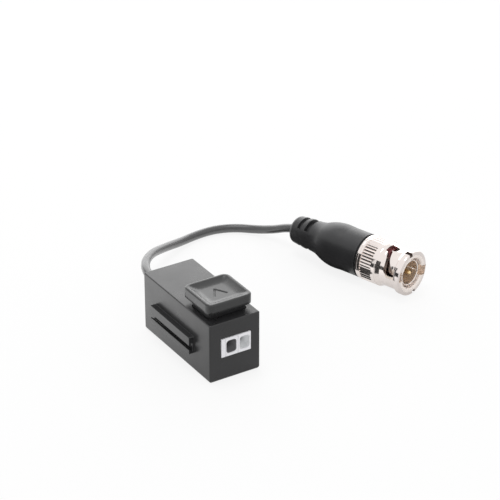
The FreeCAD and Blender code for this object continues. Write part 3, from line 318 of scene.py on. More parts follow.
def block(low, high):
    """A closed box mesh between two corners, as a grid of four upright edges and two poles."""
    low, high = np.array(low, float), np.array(high, float)
    x = np.array([low[0], high[0], high[0], low[0]])
    y = np.array([low[1], low[1], high[1], high[1]])
    middle = (low + high) / 2
    ring = [np.stack([x, y, np.full(4, z)], -1) for z in (low[2], high[2])]
    pole = [np.tile([middle[0], middle[1], z], (4, 1)) for z in (low[2], high[2])]
    return surface(np.stack([pole[0], ring[0], ring[1], pole[1]]))


def new_object(name, data):
    """An object linked into the scene."""
    item = bpy.data.objects.new(name, data)
    bpy.context.scene.collection.objects.link(item)
    return item


def carved(mesh, tools):
    """A mesh with closed tool meshes cut out of it."""
    solid = new_object("solid", mesh)
    helpers = []
    for tool in tools:
        helper = new_object("tool", tool)
        modifier = solid.modifiers.new("carve", "BOOLEAN")
        modifier.operation = "DIFFERENCE"
        modifier.solver = "EXACT"
        modifier.object = helper
        helpers.append(helper)
    graph = bpy.context.evaluated_depsgraph_get()
    result = bpy.data.meshes.new_from_object(solid.evaluated_get(graph))
    for item in [solid] + helpers:
        bpy.data.objects.remove(item)
    return result


def dress(mesh, look, crease):
    """Give a mesh one finish and smooth shading, with sharp edges from the crease's degrees on."""
    mesh.materials.clear()
    mesh.materials.append(finish(look))
    mesh.shade_smooth()
    mesh.set_sharp_from_angle(angle=math.radians(crease))


def add_piece(name, mesh, look, body, node=None, crease=32.0):
    """Put a mesh in the scene with a finish, riding on a body and standing for a node."""
    mesh.name = name
    dress(mesh, look, crease)
    piece = new_object(name, mesh)
    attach(piece, body)
    if node:
        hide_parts(node)
    return piece


def soften(piece, width):
    """Round a piece's hard edges with a small bevel."""
    bevel = piece.modifiers.new("edge", "BEVEL")
    bevel.width = width
    bevel.segments = BEVEL_SEGMENTS
    bevel.limit_method = "ANGLE"
    bevel.angle_limit = BEVEL_ANGLE
    bevel.harden_normals = False


def merged_copy(node, flat_angle):
    """A copy of a CAD node's mesh, its doubles merged and its faces joined where flat to so many degrees."""
    shape = bmesh.new()
    shape.from_mesh(frame["nodes"][node].data)
    bmesh.ops.remove_doubles(shape, verts=shape.verts, dist=CAD_MERGE_DISTANCE)
    bmesh.ops.dissolve_limit(
        shape, angle_limit=math.radians(flat_angle), verts=shape.verts, edges=shape.edges,
        delimit={"NORMAL"})
    mesh = bpy.data.meshes.new(node)
    shape.to_mesh(mesh)
    shape.free()
    return mesh


def moulding(node, name, look, edge):
    """A merged copy of a prismatic CAD node, with its edges softened."""
    soften(add_piece(name, merged_copy(node, flat_angle=1.0), look, UNIT, node), edge)


# Finishes

# Where most of a noise's values lie
NOISE_LOW, NOISE_HIGH = 0.3, 0.7
PLASTIC_DRIFT = 140.0
# The detail and roughness of each kind of noise
DRIFT, GRAIN, POLISH, RINGS = (3.0, 0.55), (2.0, 0.6), (4.0, 0.55), (2.0, 0.55)
GLOSS_BELOW, GLOSS_ABOVE = 0.04, 0.05
METAL_DRIFT, METAL_SPREAD = 260.0, 0.03
POLISH_SCALE = 700.0
LATHE_STRETCH = (40.0, 1.0, 40.0)
LATHE_DEPTH = 0.000004


def link(source, output, target, socket):
    source.id_data.links.new(source.outputs[output], target.inputs[socket])


def add_node(tree, kind, sockets=None, **settings):
    """A new node of a kind, with its settings and the values of its sockets."""
    node = tree.nodes.new(kind)
    for name, value in settings.items():
        setattr(node, name, value)
    for socket, value in (sockets or {}).items():
        node.inputs[socket].default_value = value
    return node


def new_finish(name, roughness, metallic=0.0):
    """A material with its shader and an Object coordinate to hang patterns on."""
    material = bpy.data.materials.new(name)
    material.use_nodes = True
    tree = material.node_tree
    shader = tree.nodes["Principled BSDF"]
    shader.inputs["Roughness"].default_value = roughness
    shader.inputs["Metallic"].default_value = metallic
    return material, shader, tree.nodes.new("ShaderNodeTexCoord")


def add_noise(source, output, scale, detail, roughness):
    noise = add_node(
        source.id_data, "ShaderNodeTexNoise", {"Scale": scale, "Detail": detail, "Roughness": roughness})
    link(source, output, noise, "Vector")
    return noise


def vary_colour(shader, noise, colour, spread):
    """Let the colour drift between a darker and a lighter tone of itself."""
    ramp = add_node(shader.id_data, "ShaderNodeValToRGB")
    ends = zip(ramp.color_ramp.elements, (NOISE_LOW, NOISE_HIGH), (-spread, spread))
    for element, position, change in ends:
        element.position = position
        element.color = (*(min(1.0, tone * (1 + change)) for tone in colour), 1)
    link(noise, "Fac", ramp, "Fac")
    link(ramp, "Color", shader, "Base Color")


def vary_roughness(shader, noise, low, high):
    spread = add_node(shader.id_data, "ShaderNodeMapRange", {
        "From Min": NOISE_LOW, "From Max": NOISE_HIGH, "To Min": low, "To Max": high})
    link(noise, "Fac", spread, "Value")
    link(spread, "Result", shader, "Roughness")


def raise_grain(shader, noise, strength, depth):
    bump = add_node(shader.id_data, "ShaderNodeBump", {"Strength": strength, "Distance": depth})
    link(noise, "Fac", bump, "Height")
    link(bump, "Normal", shader, "Normal")


def moulded_plastic(name, colour, roughness, grain=5200.0, depth=0.00002, spread=0.08, strength=0.5,
                    gloss=0.5):
    """Moulded plastic: a spark-eroded grain, and a slow drift of tone and gloss."""
    material, shader, place = new_finish(name, roughness)
    shader.inputs["Specular IOR Level"].default_value = gloss
    drift = add_noise(place, "Object", PLASTIC_DRIFT, *DRIFT)
    vary_colour(shader, drift, colour, spread)
    vary_roughness(shader, drift, roughness - GLOSS_BELOW, roughness + GLOSS_ABOVE)
    raise_grain(shader, add_noise(place, "Object", grain, *GRAIN), strength, depth)
    return material


def turned_metal(name, colour, roughness, axis_turn=0.0, lines=9000.0, strength=0.12, uneven=0.28):
    """Plated metal turned on a lathe: fine rings round its axis under a thin uneven polish."""
    material, shader, place = new_finish(name, roughness, 1.0)
    mapping = add_node(
        place.id_data, "ShaderNodeMapping", {"Rotation": (0.0, 0.0, axis_turn), "Scale": LATHE_STRETCH},
        vector_type="TEXTURE")
    link(place, "Object", mapping, "Vector")
    vary_colour(shader, add_noise(place, "Object", METAL_DRIFT, *DRIFT), colour, METAL_SPREAD)
    polish = add_noise(place, "Object", POLISH_SCALE, *POLISH)
    vary_roughness(shader, polish, roughness * (1 - uneven), roughness * (1 + uneven))
    raise_grain(shader, add_noise(mapping, "Vector", lines, *RINGS), strength, LATHE_DEPTH)
    return material


@functools.cache
def finish(name):
    """A finish from the settings and the tables, made once and then shared.

    A plastic has a colour, a roughness, its grain's scale and depth, its spread of tone, the grain's
    strength and a gloss. A metal has a colour, a roughness, its axis's turn, the scale and strength of
    its rings, and how uneven its polish is.
    """
    scene = bpy.context.scene
    housing, button = scene.balun_housing, scene.balun_button
    cable, plug = scene.balun_cable, scene.balun_plug
    matt_rings = (PLUG_TURN, 7000.0, 0.03, 0.05)
    plastics = {
        "black_case": (housing.colour, housing.roughness),
        "black_button": (button.colour, 0.29, 4200.0, 0.00002, 0.08, 0.5, 0.58),
        "white_block": ((0.9, 0.895, 0.925), 0.38, 6000.0, 0.000008, 0.02),
        "grey_liner": ((0.76, 0.77, 0.78), 0.4, 5000.0, 0.00001, 0.05),
        "black_liner": ((0.17, 0.17, 0.177), 0.35, 5000.0, 0.00001, 0.08),
        "boot_rubber": (cable.boot, 0.42, 2600.0, 0.000025, 0.12),
        "cable_jacket": (cable.jacket, 0.34, 2200.0, 0.000015, 0.1, 0.3, 0.8),
        "silicone_red": ((0.12, 0.011, 0.014), 0.4, 3000.0, 0.00001, 0.1),
        # the insulator's dark beige-brown is painted shade for its place deep inside the tube
        "insulator_painted_shade": ((0.2, 0.155, 0.1), 0.5, 5000.0, 0.00001, 0.08),
        "solder_mask": ((0.02, 0.13, 0.05), 0.35, 1500.0, 0.00001, 0.15),
        "ferrite": ((0.05, 0.048, 0.047), 0.7, 4000.0, 0.00003, 0.15),
        "ceramic": ((0.45, 0.32, 0.2), 0.55, 4000.0, 0.00001, 0.1),
    }
    metals = {
        "nickel": (plug.nickel, plug.polish, PLUG_TURN),
        "brassy_bore": ((0.95, 0.84, 0.74), 0.48, *matt_rings),
        # a lighter matt copy of the plating: painted light where the mouth's gap lies in shade
        "matt_mouth_painted_light": ((0.97, 0.91, 0.87), 0.7, *matt_rings),
        # a dark copy of the plating: painted shade in the deep bore and the nicks
        "painted_shade_bore": ((0.26, 0.215, 0.195), 0.5, *matt_rings),
        "gold": ((0.98, 0.75, 0.42), 0.24, PLUG_TURN),
        "spring_steel": ((0.6, 0.6, 0.6), 0.3),
        "tinned": ((0.72, 0.71, 0.69), 0.38),
        "copper_wire": ((0.78, 0.36, 0.18), 0.3),
    }
    if name in plastics:
        return moulded_plastic(name, *plastics[name])
    return turned_metal(name, *metals[name])


# Housing, terminal and button

class BALUN_OT_housing(bpy.types.Operator):
    """Build the box with its rail, and the cover in its underside."""

    bl_idname = "balun.housing"
    bl_label = "Housing"

    def execute(self, context):
        edge = context.scene.balun_housing.edge
        moulding("housing_shell", "housing_case", "black_case", edge)
        moulding("base_cover", "base_plate", "black_case", edge)
        return {"FINISHED"}


class BALUN_OT_terminal(bpy.types.Operator):
    """Build the white terminal block and the two wire funnels in its face."""

    bl_idname = "balun.terminal"
    bl_label = "Terminal"

    def execute(self, context):
        edge = context.scene.balun_housing.edge
        moulding("terminal_block", "terminal_body", "white_block", edge)
        sides = (("left", "black_liner", "black_abs"), ("right", "grey_liner", "grey_plastic"))
        for side, look, slot in sides:
            node = "wire_funnel_" + side
            add_piece("funnel_" + side, funnel_mesh(node), look, UNIT, node)
        return {"FINISHED"}


# A funnel's half width, half height and corner at its throat, and how far its mouth's lip stands in
FUNNEL_THROAT = np.array([0.7, 0.9, 0.6]) * MM
FUNNEL_CORNER = 0.95 * MM
FUNNEL_LIP = 0.14 * MM
FUNNEL_ROWS = 9
# Steps round each corner of an outline and along each side
FUNNEL_STEPS = (6, 2)
CAP_STEPS = (18, 40)
PLUNGER_STEPS = (8, 2)


def funnel_mesh(node):
    """A liner whose mouth narrows on a smooth curve to a throat: one outline carried inwards and back."""
    low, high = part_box(node)
    middle = (low + high) / 2
    outer = np.array([(high.x - low.x) / 2, (high.z - low.z) / 2, FUNNEL_CORNER])
    share = np.linspace(0, 1, FUNNEL_ROWS)
    ease = smooth_step(share)[:, None]
    inner = (outer - FUNNEL_LIP) * (1 - ease) + FUNNEL_THROAT * ease
    sizes = np.concatenate([[outer, outer], inner, [outer]])
    rows_y = np.concatenate([[high.y, low.y], low.y + (high.y - low.y) * share, [high.y]])
    outline = rounded_outline(sizes[:, :1], sizes[:, 1:2], sizes[:, 2:], *FUNNEL_STEPS)
    depth = np.repeat(rows_y[:, None], outline.shape[1], 1)
    return surface(np.stack([outline[..., 0] + middle.x, depth, outline[..., 1] + middle.z], -1))


class BALUN_OT_button(bpy.types.Operator):
    """Build the button: a cap with a dished top and a chevron, and the plunger under it."""

    bl_idname = "balun.button"
    bl_label = "Button"

    def execute(self, context):
        cap = cap_mesh(context.scene.balun_button)
        add_piece("button_cap", cap, "black_button", BUTTON, "push_button", crease=50.0)
        plunger = add_piece("button_plunger", plunger_mesh(), "black_case", BUTTON)
        soften(plunger, context.scene.balun_housing.edge)
        return {"FINISHED"}


CAP_HEIGHT = 3.15 * MM
CAP_WALL = 1.5 * MM
CAP_HOLLOW = 1.15 * MM
CAP_ROUND = 0.55 * MM
INSIDE_CORNER = 1.4 * MM
FLOOR_INSET = 3.9 * MM
DISH_CURVE = 1.8
RIM_CORNER = 0.8
FLOOR_CORNER = 0.8 * MM
FLOOR_ROWS, SLOPE_ROWS, ROUND_ROWS = 45, 22, 9
CHEVRON_ROWS = 60
# Insets from the cap's side and heights over its lower edge, down the skirt and then up inside
CAP_SKIRT = np.array([(0.0, 1.2), (0.0, 0.12), (0.08, 0.02), (0.2, 0.0)]) * MM
CAP_INSIDE = np.array([(CAP_WALL - 0.1 * MM, 0.0), (CAP_WALL, 0.1 * MM), (CAP_WALL, CAP_HOLLOW)])
CAP_CLOSING = np.array([0.5, 0.0])


def cap_mesh(button):
    """Rounded-square outlines from the middle of the dish out over the rim, down the skirt and inside.

    Each outline has an inset from the cap's side, a share of what that leaves, a corner and a height.
    The dish falls from the rim on a smooth curve, and the chevron is pressed into its floor by the
    distance to its two strokes.
    """
    low, high = BUTTON_LOW, BUTTON_HIGH
    half_x, half_y = (high.x - low.x) / 2, (high.y - low.y) / 2
    top, bottom = high.z, high.z - CAP_HEIGHT
    floor = top - button.dish
    reach = np.linspace(0, 1, FLOOR_ROWS, endpoint=False)
    slope = np.linspace(0, 1, SLOPE_ROWS)
    slope_inset = FLOOR_INSET + (button.rim - FLOOR_INSET) * slope
    slope_corner = FLOOR_CORNER + (button.corner - button.rim * RIM_CORNER - FLOOR_CORNER) * slope
    turn = np.linspace(0, np.pi / 2, ROUND_ROWS)
    rim_inset = CAP_ROUND * (1 - np.sin(turn))
    rim_z = top - CAP_ROUND * (1 - np.cos(turn))
    skirt_inset, skirt_rise = CAP_SKIRT.T
    inside, inside_rise = CAP_INSIDE.T
    rows = [
        (FLOOR_INSET, reach, FLOOR_CORNER * reach, floor),
        (slope_inset, 1, slope_corner, floor + button.dish * slope ** DISH_CURVE),
        (rim_inset, 1, button.corner - rim_inset, rim_z),
        (skirt_inset, 1, button.corner - skirt_inset, bottom + skirt_rise),
        (inside, 1, INSIDE_CORNER, bottom + inside_rise),
        (CAP_WALL, CAP_CLOSING, INSIDE_CORNER * CAP_CLOSING, bottom + CAP_HOLLOW),
    ]
    parts = zip(*(np.broadcast_arrays(*row) for row in rows))
    inset, share, corner, height = (np.concatenate(part)[:, None] for part in parts)
    outline = rounded_outline((half_x - inset) * share, (half_y - inset) * share, corner, *CAP_STEPS)
    pressed = np.arange(len(height))[:, None] < CHEVRON_ROWS
    height = height - np.where(pressed, chevron_depth(outline, button.groove), 0.0)
    middle = ((low.x + high.x) / 2, (low.y + high.y) / 2)
    return surface(np.concatenate([outline + middle, height[..., None]], -1))


CHEVRON_TIP = 1.9 * MM
CHEVRON_HALF = 2.05 * MM
CHEVRON_LENGTH = 3.5 * MM
CHEVRON_DEPTH = 0.3 * MM


def chevron_depth(plane, width):
    """Depth of a V groove along two strokes that meet at a tip which points towards the cable."""
    tip = (0.0, CHEVRON_TIP)
    tails = [(side * CHEVRON_HALF, CHEVRON_TIP - CHEVRON_LENGTH) for side in (-1, 1)]
    gap = np.minimum(*(distance_to_stroke(plane, tail, tip) for tail in tails))
    return CHEVRON_DEPTH * smooth_step(1 - gap / (width / 2))


PLUNGER_WALL = 1.1 * MM
PLUNGER_SETBACK = 1.45 * MM
PLUNGER_HALF_X = 6.5 * MM
PLUNGER_LENGTH = 10.1 * MM
PLUNGER_CORNER = 1.4 * MM
# How fast a corner's radius shrinks as its outline moves in
CORNER_SHRINK = 0.9
PLUNGER_BOTTOM = 17.0 * MM
CATCH_BOTTOM, CATCH_TOP = 17.3 * MM, 17.7 * MM
CATCH_HALF = 2 * MM
CATCH_ROOT, CATCH_REACH = PLUNGER_HALF_X - 0.2 * MM, PLUNGER_HALF_X + 0.5 * MM
FINGER_SIZE = (1.1 * MM, 1.2 * MM)
FINGER_BACK = -12.5 * MM
FINGER_LEFTS = (-2.83 * MM, 1.64 * MM)
SPRING_PLACE = (0.235 * MM, -8.25 * MM)
SPIGOT_PROFILE = [(0.0, 0.0), (1.1, 0.0), (1.1, -0.9), (1.0, -1.0), (0.0, -1.0)]
SPIGOT_SEGMENTS = 24


def plunger_mesh():
    """A rectangular tube with two catches, two fingers and the spring's spigot, all closed shapes."""
    top = BUTTON_HIGH.z - CAP_HEIGHT + CAP_HOLLOW
    middle_y = BUTTON_LOW.y + PLUNGER_SETBACK + PLUNGER_LENGTH / 2
    inset = np.array([0.0, 0.0, PLUNGER_WALL, PLUNGER_WALL])[:, None]
    height = np.array([PLUNGER_BOTTOM, top + CAP_WALL / 2, top + CAP_WALL / 2, PLUNGER_BOTTOM])[:, None]
    outline = rounded_outline(
        PLUNGER_HALF_X - inset, PLUNGER_LENGTH / 2 - inset, PLUNGER_CORNER - inset * CORNER_SHRINK,
        *PLUNGER_STEPS)
    height = np.repeat(height, outline.shape[1], 1)
    parts = [surface(np.stack([outline[..., 0], outline[..., 1] + middle_y, height], -1), round_columns=True)]
    for left in FINGER_LEFTS:
        parts.append(block(
            (left, FINGER_BACK - FINGER_SIZE[1], BUTTON_LOW.z), (left + FINGER_SIZE[0], FINGER_BACK, top)))
    for side in (-1, 1):
        near, far = sorted((side * CATCH_ROOT, side * CATCH_REACH))
        parts.append(block(
            (near, middle_y - CATCH_HALF, CATCH_BOTTOM), (far, middle_y + CATCH_HALF, CATCH_TOP)))
    radius, drop = profile(SPIGOT_PROFILE).T[..., None]
    angles = np.linspace(0, 2 * np.pi, SPIGOT_SEGMENTS, endpoint=False)
    round_x = SPRING_PLACE[0] + radius * np.cos(angles)
    round_y = SPRING_PLACE[1] + radius * np.sin(angles)
    parts.append(surface(np.stack([round_x, round_y, np.repeat(top + drop, SPIGOT_SEGMENTS, 1)], -1)))
    return mended(parts)


# Pigtail, grommet and boot

CABLE_ROUTE = [
    (0.0, 0.0240, 0.0096),
    (0.0, 0.0315, 0.0096),
    (0.0035, 0.0402, 0.0089),
    (0.0100, 0.0476, 0.0071),
    (0.0182, 0.0532, 0.0044),
    (0.0264, 0.0576, 0.0020),
    (0.0342, 0.0600, 0.00142),
    (0.0413, 0.0601, 0.00142),
    (0.0477, 0.0574, 0.00142),
    (0.0525, 0.0523, 0.0017),
    (0.0552, 0.0460, 0.0038),
    (0.0567, 0.0409, 0.0063),
    (0.05798, 0.03718, 0.0073),
]


class BALUN_OT_cable(bpy.types.Operator):
    bl_idname = "balun.cable"
    bl_label = "Pigtail"

    def execute(self, context):
        cable = context.scene.balun_cable
        curve = bpy.data.curves.new("pigtail", "CURVE")
        curve.dimensions = "3D"
        curve.bevel_depth = cable.diameter / 2
        curve.bevel_resolution = 6
        curve.resolution_u = 18
        curve.use_fill_caps = True
        spline = curve.splines.new("NURBS")
        spline.points.add(len(CABLE_ROUTE) - 1)
        spline.points.foreach_set("co", np.insert(CABLE_ROUTE, 3, 1.0, axis=1).ravel())
        spline.order_u = 3
        spline.use_endpoint_u = True
        spline.use_smooth = True
        curve.materials.append(finish("cable_jacket"))
        piece = new_object("pigtail", curve)
        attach(piece, UNIT)
        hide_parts("cord_tube")
        return {"FINISHED"}


GROMMET_PROFILE = [
    (1.42, 16.4), (3.1, 16.4), (3.2, 16.5), (3.2, 17.7), (2.45, 17.7), (2.45, 19.0), (2.8, 19.0),
    (3.0, 19.2, 0.2), (3.0, 19.6), (2.8, 19.8, 0.2), (2.5, 19.8), (2.35, 19.95, -0.15), (2.26, 20.9),
    (2.05, 20.98), (2.05, 21.5), (2.2, 21.58), (2.12, 22.5), (1.92, 22.58), (1.92, 23.1), (2.05, 23.18),
    (2.0, 23.8), (1.8, 24.0, 0.2), (1.42, 24.0), (1.42, 16.4),
]
GROMMET_SEGMENTS = 72
BOOT_PROFILE = [
    (4.95, 16.75), (6.7, 16.75), (6.7, 17.35), (6.95, 17.35), (7.1, 17.5, 0.15), (7.1, 24.4), (7.17, 25.4),
    (7.22, 26.2), (7.25, 27.0), (5.93, 33.5, 16.0), (5.0, 38.0, -11.1), (5.0, 39.4), (4.72, 42.4),
    (4.5, 44.2), (3.5, 45.8, 1.7), (1.45, 45.8), (1.45, 44.6), (0.0, 44.6),
]
BOOT_INSIDE = [(4.95, 16.75), (4.95, 17.65), (2.47, 17.65), (2.47, 25.55), (0.0, 25.55)]
RELIEFS = ((37.75, 1.9), (41.0, 1.6))
RELIEF_FLOOR = 3.8
RELIEF_HALF_ANGLE = math.radians(52)
RELIEF_FADE = math.radians(5)
RELIEF_SLOPE = 0.14
BOOT_STEP = 0.12 * MM
BOOT_SEGMENTS = 144


class BALUN_OT_boot(bpy.types.Operator):
    """Build the moulded boot with its strain relief grooves, and the grommet in the back wall."""

    bl_idname = "balun.boot"
    bl_label = "Boot and grommet"

    def execute(self, context):
        outside = divided(profile(BOOT_PROFILE, 16), BOOT_STEP)
        inside = profile(BOOT_INSIDE)[::-1]
        points = np.concatenate([
            turned(inside, BOOT_SEGMENTS)[:-1],
            turned(outside, BOOT_SEGMENTS, relief_cut),
        ])
        add_piece("boot", surface(points), "boot_rubber", UNIT, "plug_boot", crease=38.0)
        collar = surface(turned(profile(GROMMET_PROFILE, 6), GROMMET_SEGMENTS, place=CABLE_FRAME))
        add_piece("cable_collar", collar, "boot_rubber", UNIT, "cable_grommet")
        return {"FINISHED"}


def relief_cut(angle, along, radius):
    """Depth of the strain relief: grooves over the top and under the bottom, with softly sloped ends."""
    from_upright = np.abs(np.abs(np.arctan2(np.sin(angle), np.cos(angle))) - np.pi / 2)
    around = smooth_step((RELIEF_HALF_ANGLE - from_upright) / RELIEF_FADE + 0.5)
    depth = np.maximum(radius - RELIEF_FLOOR * MM, 0.0)
    cut = np.zeros_like(radius)
    for start, width in RELIEFS:
        edge = np.minimum(along / MM - start, start + width - along / MM)
        cut = np.maximum(cut, depth * around * smooth_step(edge / RELIEF_SLOPE))
    return cut


# Coupling ring and the pieces of the plug: sizes in millimetres, as in the profiles, and turns in degrees

RING_FLANGE = 7.25
KNURL_START, KNURL_END, KNURL_OUTSIDE = 10.605, 14.895, 7.24
KNURL_DEPTH, GROOVE_HALF = 0.36, 0.4
RING_PROFILE = [
    (5.25, -0.4), (6.85, -0.4), (7.25, 0.0, 0.4), (7.25, 1.45), (6.85, 1.85, 0.4), (6.5, 3.1, -1.5),
    (6.5, 7.5), (6.53, 7.7, -0.5), (7.05, 8.95), (7.1, 9.25, 0.6), (7.25, 9.35), (7.25, 10.59),
    (7.25, 10.61), (7.25, 14.88), (7.25, 14.9), (7.25, 15.6), (7.05, 15.8, 0.2), (6.05, 15.8), (6.05, 10.2),
    (4.95, 10.2), (4.95, 9.4), (5.75, 9.4), (5.75, 6.55), (4.95, 6.55), (4.95, -0.1), (5.25, -0.4),
]
POLISHED_PROFILE = [
    (5.05, 15.2), (6.0, 15.2), (6.0, 15.8), (7.05, 15.8), (7.2, 15.95, 0.15), (7.2, 16.4), (7.0, 16.6, 0.2),
    (5.05, 16.6), (5.05, 15.2),
]
RING_STEP = 1.2 * MM
FACES_A_KNURL = 12
TUBE_SEGMENTS = 128
# How far into the ring the mouth is painted light, past which the bore inside the radius is painted shade
PAINTED_LIGHT_DEPTH, BORE_RADIUS = 3.4, 5.8
CHANNEL_END, CHANNEL_RADIUS = 5.7, 6.75
NOTCH_TURN, NOTCH_HALF = 10.0, 1.6
NOTCH_CUTS = ((6.7, 1.8), (5.8, 5.6))
CUT_REACH = (3.2, 7.6)
CUT_START = -1.0
RAMP_FACING = 142.0
RAMP_OUTLINE = [
    (1.2, -3.8), (6.1, -3.8), (6.1, -1.6), (6.3, 0.6), (7.0, 2.4), (7.8, 3.9), (6.0, 3.9), (5.7, 3.0),
    (4.8, 0.2), (3.0, -1.8),
]
SEAT_FACING = 92.0
LEVEL_OUTLINE = [(6.35, -2.2), (8.15, -2.2), (8.15, 1.6), (6.35, 1.6)]
SEAT_PLACE, SEAT_RADIUS = 5.95, 1.3
SEAT_SEGMENTS = 28
NICK_HALF, NICK_DEPTH, NICK_LENGTH, NICK_ANGLE = 0.65, 1.2, 2.0, 8.0
NICK_FRONT, NICK_FOOT, NICK_TOP, NICK_CLEAR = -0.35, 6.0, 7.15, 1.0
PAINT_MARGIN = 0.05


class BALUN_OT_ring(bpy.types.Operator):
    """Build the bayonet ring with its knurl and slots, and the polished ring behind it."""

    bl_idname = "balun.ring"
    bl_label = "Coupling ring"

    def execute(self, context):
        knurls = context.scene.balun_plug.knurls
        line = divided(profile(RING_PROFILE, 6), RING_STEP)
        wall = surface(turned(line, knurls * FACES_A_KNURL, knurl_cut(knurls)))
        barrel = carved(wall, slot_tools() + notch_tools() + nick_tools())
        ring = add_piece("bayonet_ring", barrel, "nickel", RING, "coupling_ring", crease=30.0)
        paint_ring(ring.data)
        polished = surface(turned(profile(POLISHED_PROFILE), TUBE_SEGMENTS))
        add_piece("polished_ring", polished, "nickel", RING, "retaining_ring")
        return {"FINISHED"}


def knurl_cut(count):
    """V grooves: the depth falls evenly from the middle of each groove to its sides."""
    def cut(angle, along, radius):
        phase = (angle * count / (2 * np.pi)) % 1.0
        groove = np.clip(1 - np.abs(phase - 0.5) / GROOVE_HALF, 0, 1)
        inside = (along > KNURL_START * MM) & (along < KNURL_END * MM)
        outer = radius > KNURL_OUTSIDE * MM
        return KNURL_DEPTH * MM * groove * inside * outer
    return cut


def cut_corners(outline):
    """A closed outline with a quarter of each side cut off at both its ends."""
    following = np.roll(outline, -1, axis=0)
    return np.stack([outline * 0.75 + following * 0.25, outline * 0.25 + following * 0.75], 1).reshape(-1, 2)


def facing_prism(outline, facing):
    """A closed prism on a (place along the axis, place to the side) outline.

    It runs straight out from the axis in the direction of an angle round it, over the cuts' reach.
    """
    angle = math.radians(facing)
    out = np.array([math.cos(angle), 0.0, math.sin(angle)])
    side = np.array([math.sin(angle), 0.0, -math.cos(angle)])
    back = np.array([0.0, 1.0, 0.0])
    flat = outline[:, :1] * back + outline[:, 1:] * side
    count = len(outline)
    points = placed(np.concatenate([flat + out * distance for distance in CUT_REACH]) * MM, PLUG_FRAME)
    index = np.arange(count)
    following = (index + 1) % count
    sides = np.stack([index, following, following + count, index + count], -1)
    mesh = bpy.data.meshes.new("prism")
    mesh.from_pydata(points.tolist(), [], [index.tolist(), (index + count).tolist()] + sides.tolist())
    return mended([mesh])


def own_places(mesh):
    """Each face's middle in the plug's own axes and its distance from the axis, in millimetres."""
    centres = np.empty(len(mesh.polygons) * 3)
    mesh.polygons.foreach_get("center", centres)
    own = (centres.reshape(-1, 3) - PLUG_ORIGIN) @ axes_of(PLUG_FRAME).T / MM
    return own, np.hypot(own[:, 0], own[:, 2])


def beside(own, degrees, half):
    """Which places lie within a half width of the plane through the axis, whose normal has an angle."""
    angle = math.radians(degrees)
    return np.abs(own[:, 0] * math.cos(angle) + own[:, 2] * math.sin(angle)) < half + PAINT_MARGIN


def paint(mesh, names, kinds):
    """Add finishes to a mesh, and give each face the one that its kind counts to."""
    for name in names:
        mesh.materials.append(finish(name))
    mesh.polygons.foreach_set("material_index", kinds.astype(np.int32))


def paint_ring(mesh):
    """Give the entry channels a duller finish, the bore's mouth a lighter matt one as painted light, and the
    nicks and the deep bore a dark one as painted shade.
    """
    own, radius = own_places(mesh)
    along = own[:, 1]
    channel = beside(own, 90 - NOTCH_TURN, NOTCH_HALF) & (along < CHANNEL_END) & (radius < CHANNEL_RADIUS)
    nick = beside(own, NICK_ANGLE, NICK_HALF) & (along < NICK_LENGTH + PAINT_MARGIN) & (along > NICK_FRONT)
    nick &= (radius > NICK_FOOT) & (radius < NICK_TOP)
    bore = radius < BORE_RADIUS
    mouth = along < PAINTED_LIGHT_DEPTH
    # The deep bore and the nicks get painted shade, the mouth painted light
    kinds = np.select([nick | (bore & ~mouth), channel, bore & mouth], [2, 1, 3], 0)
    paint(mesh, ("brassy_bore", "painted_shade_bore", "matt_mouth_painted_light"), kinds)


def slot_tools():
    """For each lug a ramp, a level run and a round seat, cut straight in through the barrel's wall."""
    angles = np.linspace(0, 2 * np.pi, SEAT_SEGMENTS, endpoint=False)
    seat = np.stack([SEAT_PLACE + SEAT_RADIUS * np.cos(angles), SEAT_RADIUS * np.sin(angles)], 1)
    ramp = cut_corners(cut_corners(np.array(RAMP_OUTLINE)))
    cuts = ((ramp, RAMP_FACING), (np.array(LEVEL_OUTLINE), SEAT_FACING), (seat, SEAT_FACING))
    return [facing_prism(outline, facing + side) for side in (0.0, 180.0) for outline, facing in cuts]


def own_block(low, high, turn):
    """A box between two corners in the plug's own axes, in millimetres, turned about the plug's length."""
    mesh = block(np.array(low) * MM, np.array(high) * MM)
    basis = Matrix([(*axis, 0) for axis in axes_of(PLUG_FRAME)] + [(0, 0, 0, 1)]).transposed()
    mesh.transform(Matrix.Translation(Vector(PLUG_ORIGIN)) @ basis @ Matrix.Rotation(turn, 4, "Y"))
    return mesh


def notch_tools():
    """The entry notches through the flange as one bar across the mouth, and their channels as another."""
    turn = math.radians(NOTCH_TURN)
    return [own_block((-reach, CUT_START, -NOTCH_HALF), (reach, end, NOTCH_HALF), turn)
            for reach, end in NOTCH_CUTS]


def nick_tools():
    """The two small nicks in the flange's rim, one on each side."""
    turn = -math.radians(NICK_ANGLE)
    tools = []
    for side in (-1, 1):
        near, far = sorted((side * (RING_FLANGE - NICK_DEPTH), side * (RING_FLANGE + NICK_CLEAR)))
        tools.append(own_block((-NICK_HALF, CUT_START, near), (NICK_HALF, NICK_LENGTH, far), turn))
    return tools


TUBE_PROFILE = [
    (3.8, 0.6), (3.95, 0.45), (4.0, 0.45), (4.25, 0.7, 0.25), (4.25, 9.3), (4.8, 9.3), (4.8, 10.6),
    (5.85, 10.6), (5.85, 13.4), (4.9, 13.4), (4.9, 17.6), (1.9, 17.6), (1.9, 24.0), (1.6, 24.0), (1.6, 13.0),
    (3.0, 13.0), (3.0, 6.6), (3.8, 6.6), (3.8, 0.6),
]
SLIT_HALF, SLIT_START, SLIT_END, SLIT_REACH, SLIT_ANGLE = 0.1, -0.5, 5.45, 4.5, 80.0
# Round the tube's front, past the middle radius, the tube is painted light as deep as the ring's mouth
TUBE_FRONT, TUBE_PAINTED_LIGHT_RADIUS, TUBE_BORE = 0.62, 4.2, 3.85
CONTACT_SEGMENTS = 48
CONTACT_PROFILE = [
    (0.0, 0.3), (0.3, 0.35, 0.62), (0.6, 0.9, 0.9), (0.675, 1.25, 1.6), (0.675, 13.0), (0.9, 13.0),
    (0.9, 18.0), (0.0, 18.0),
]


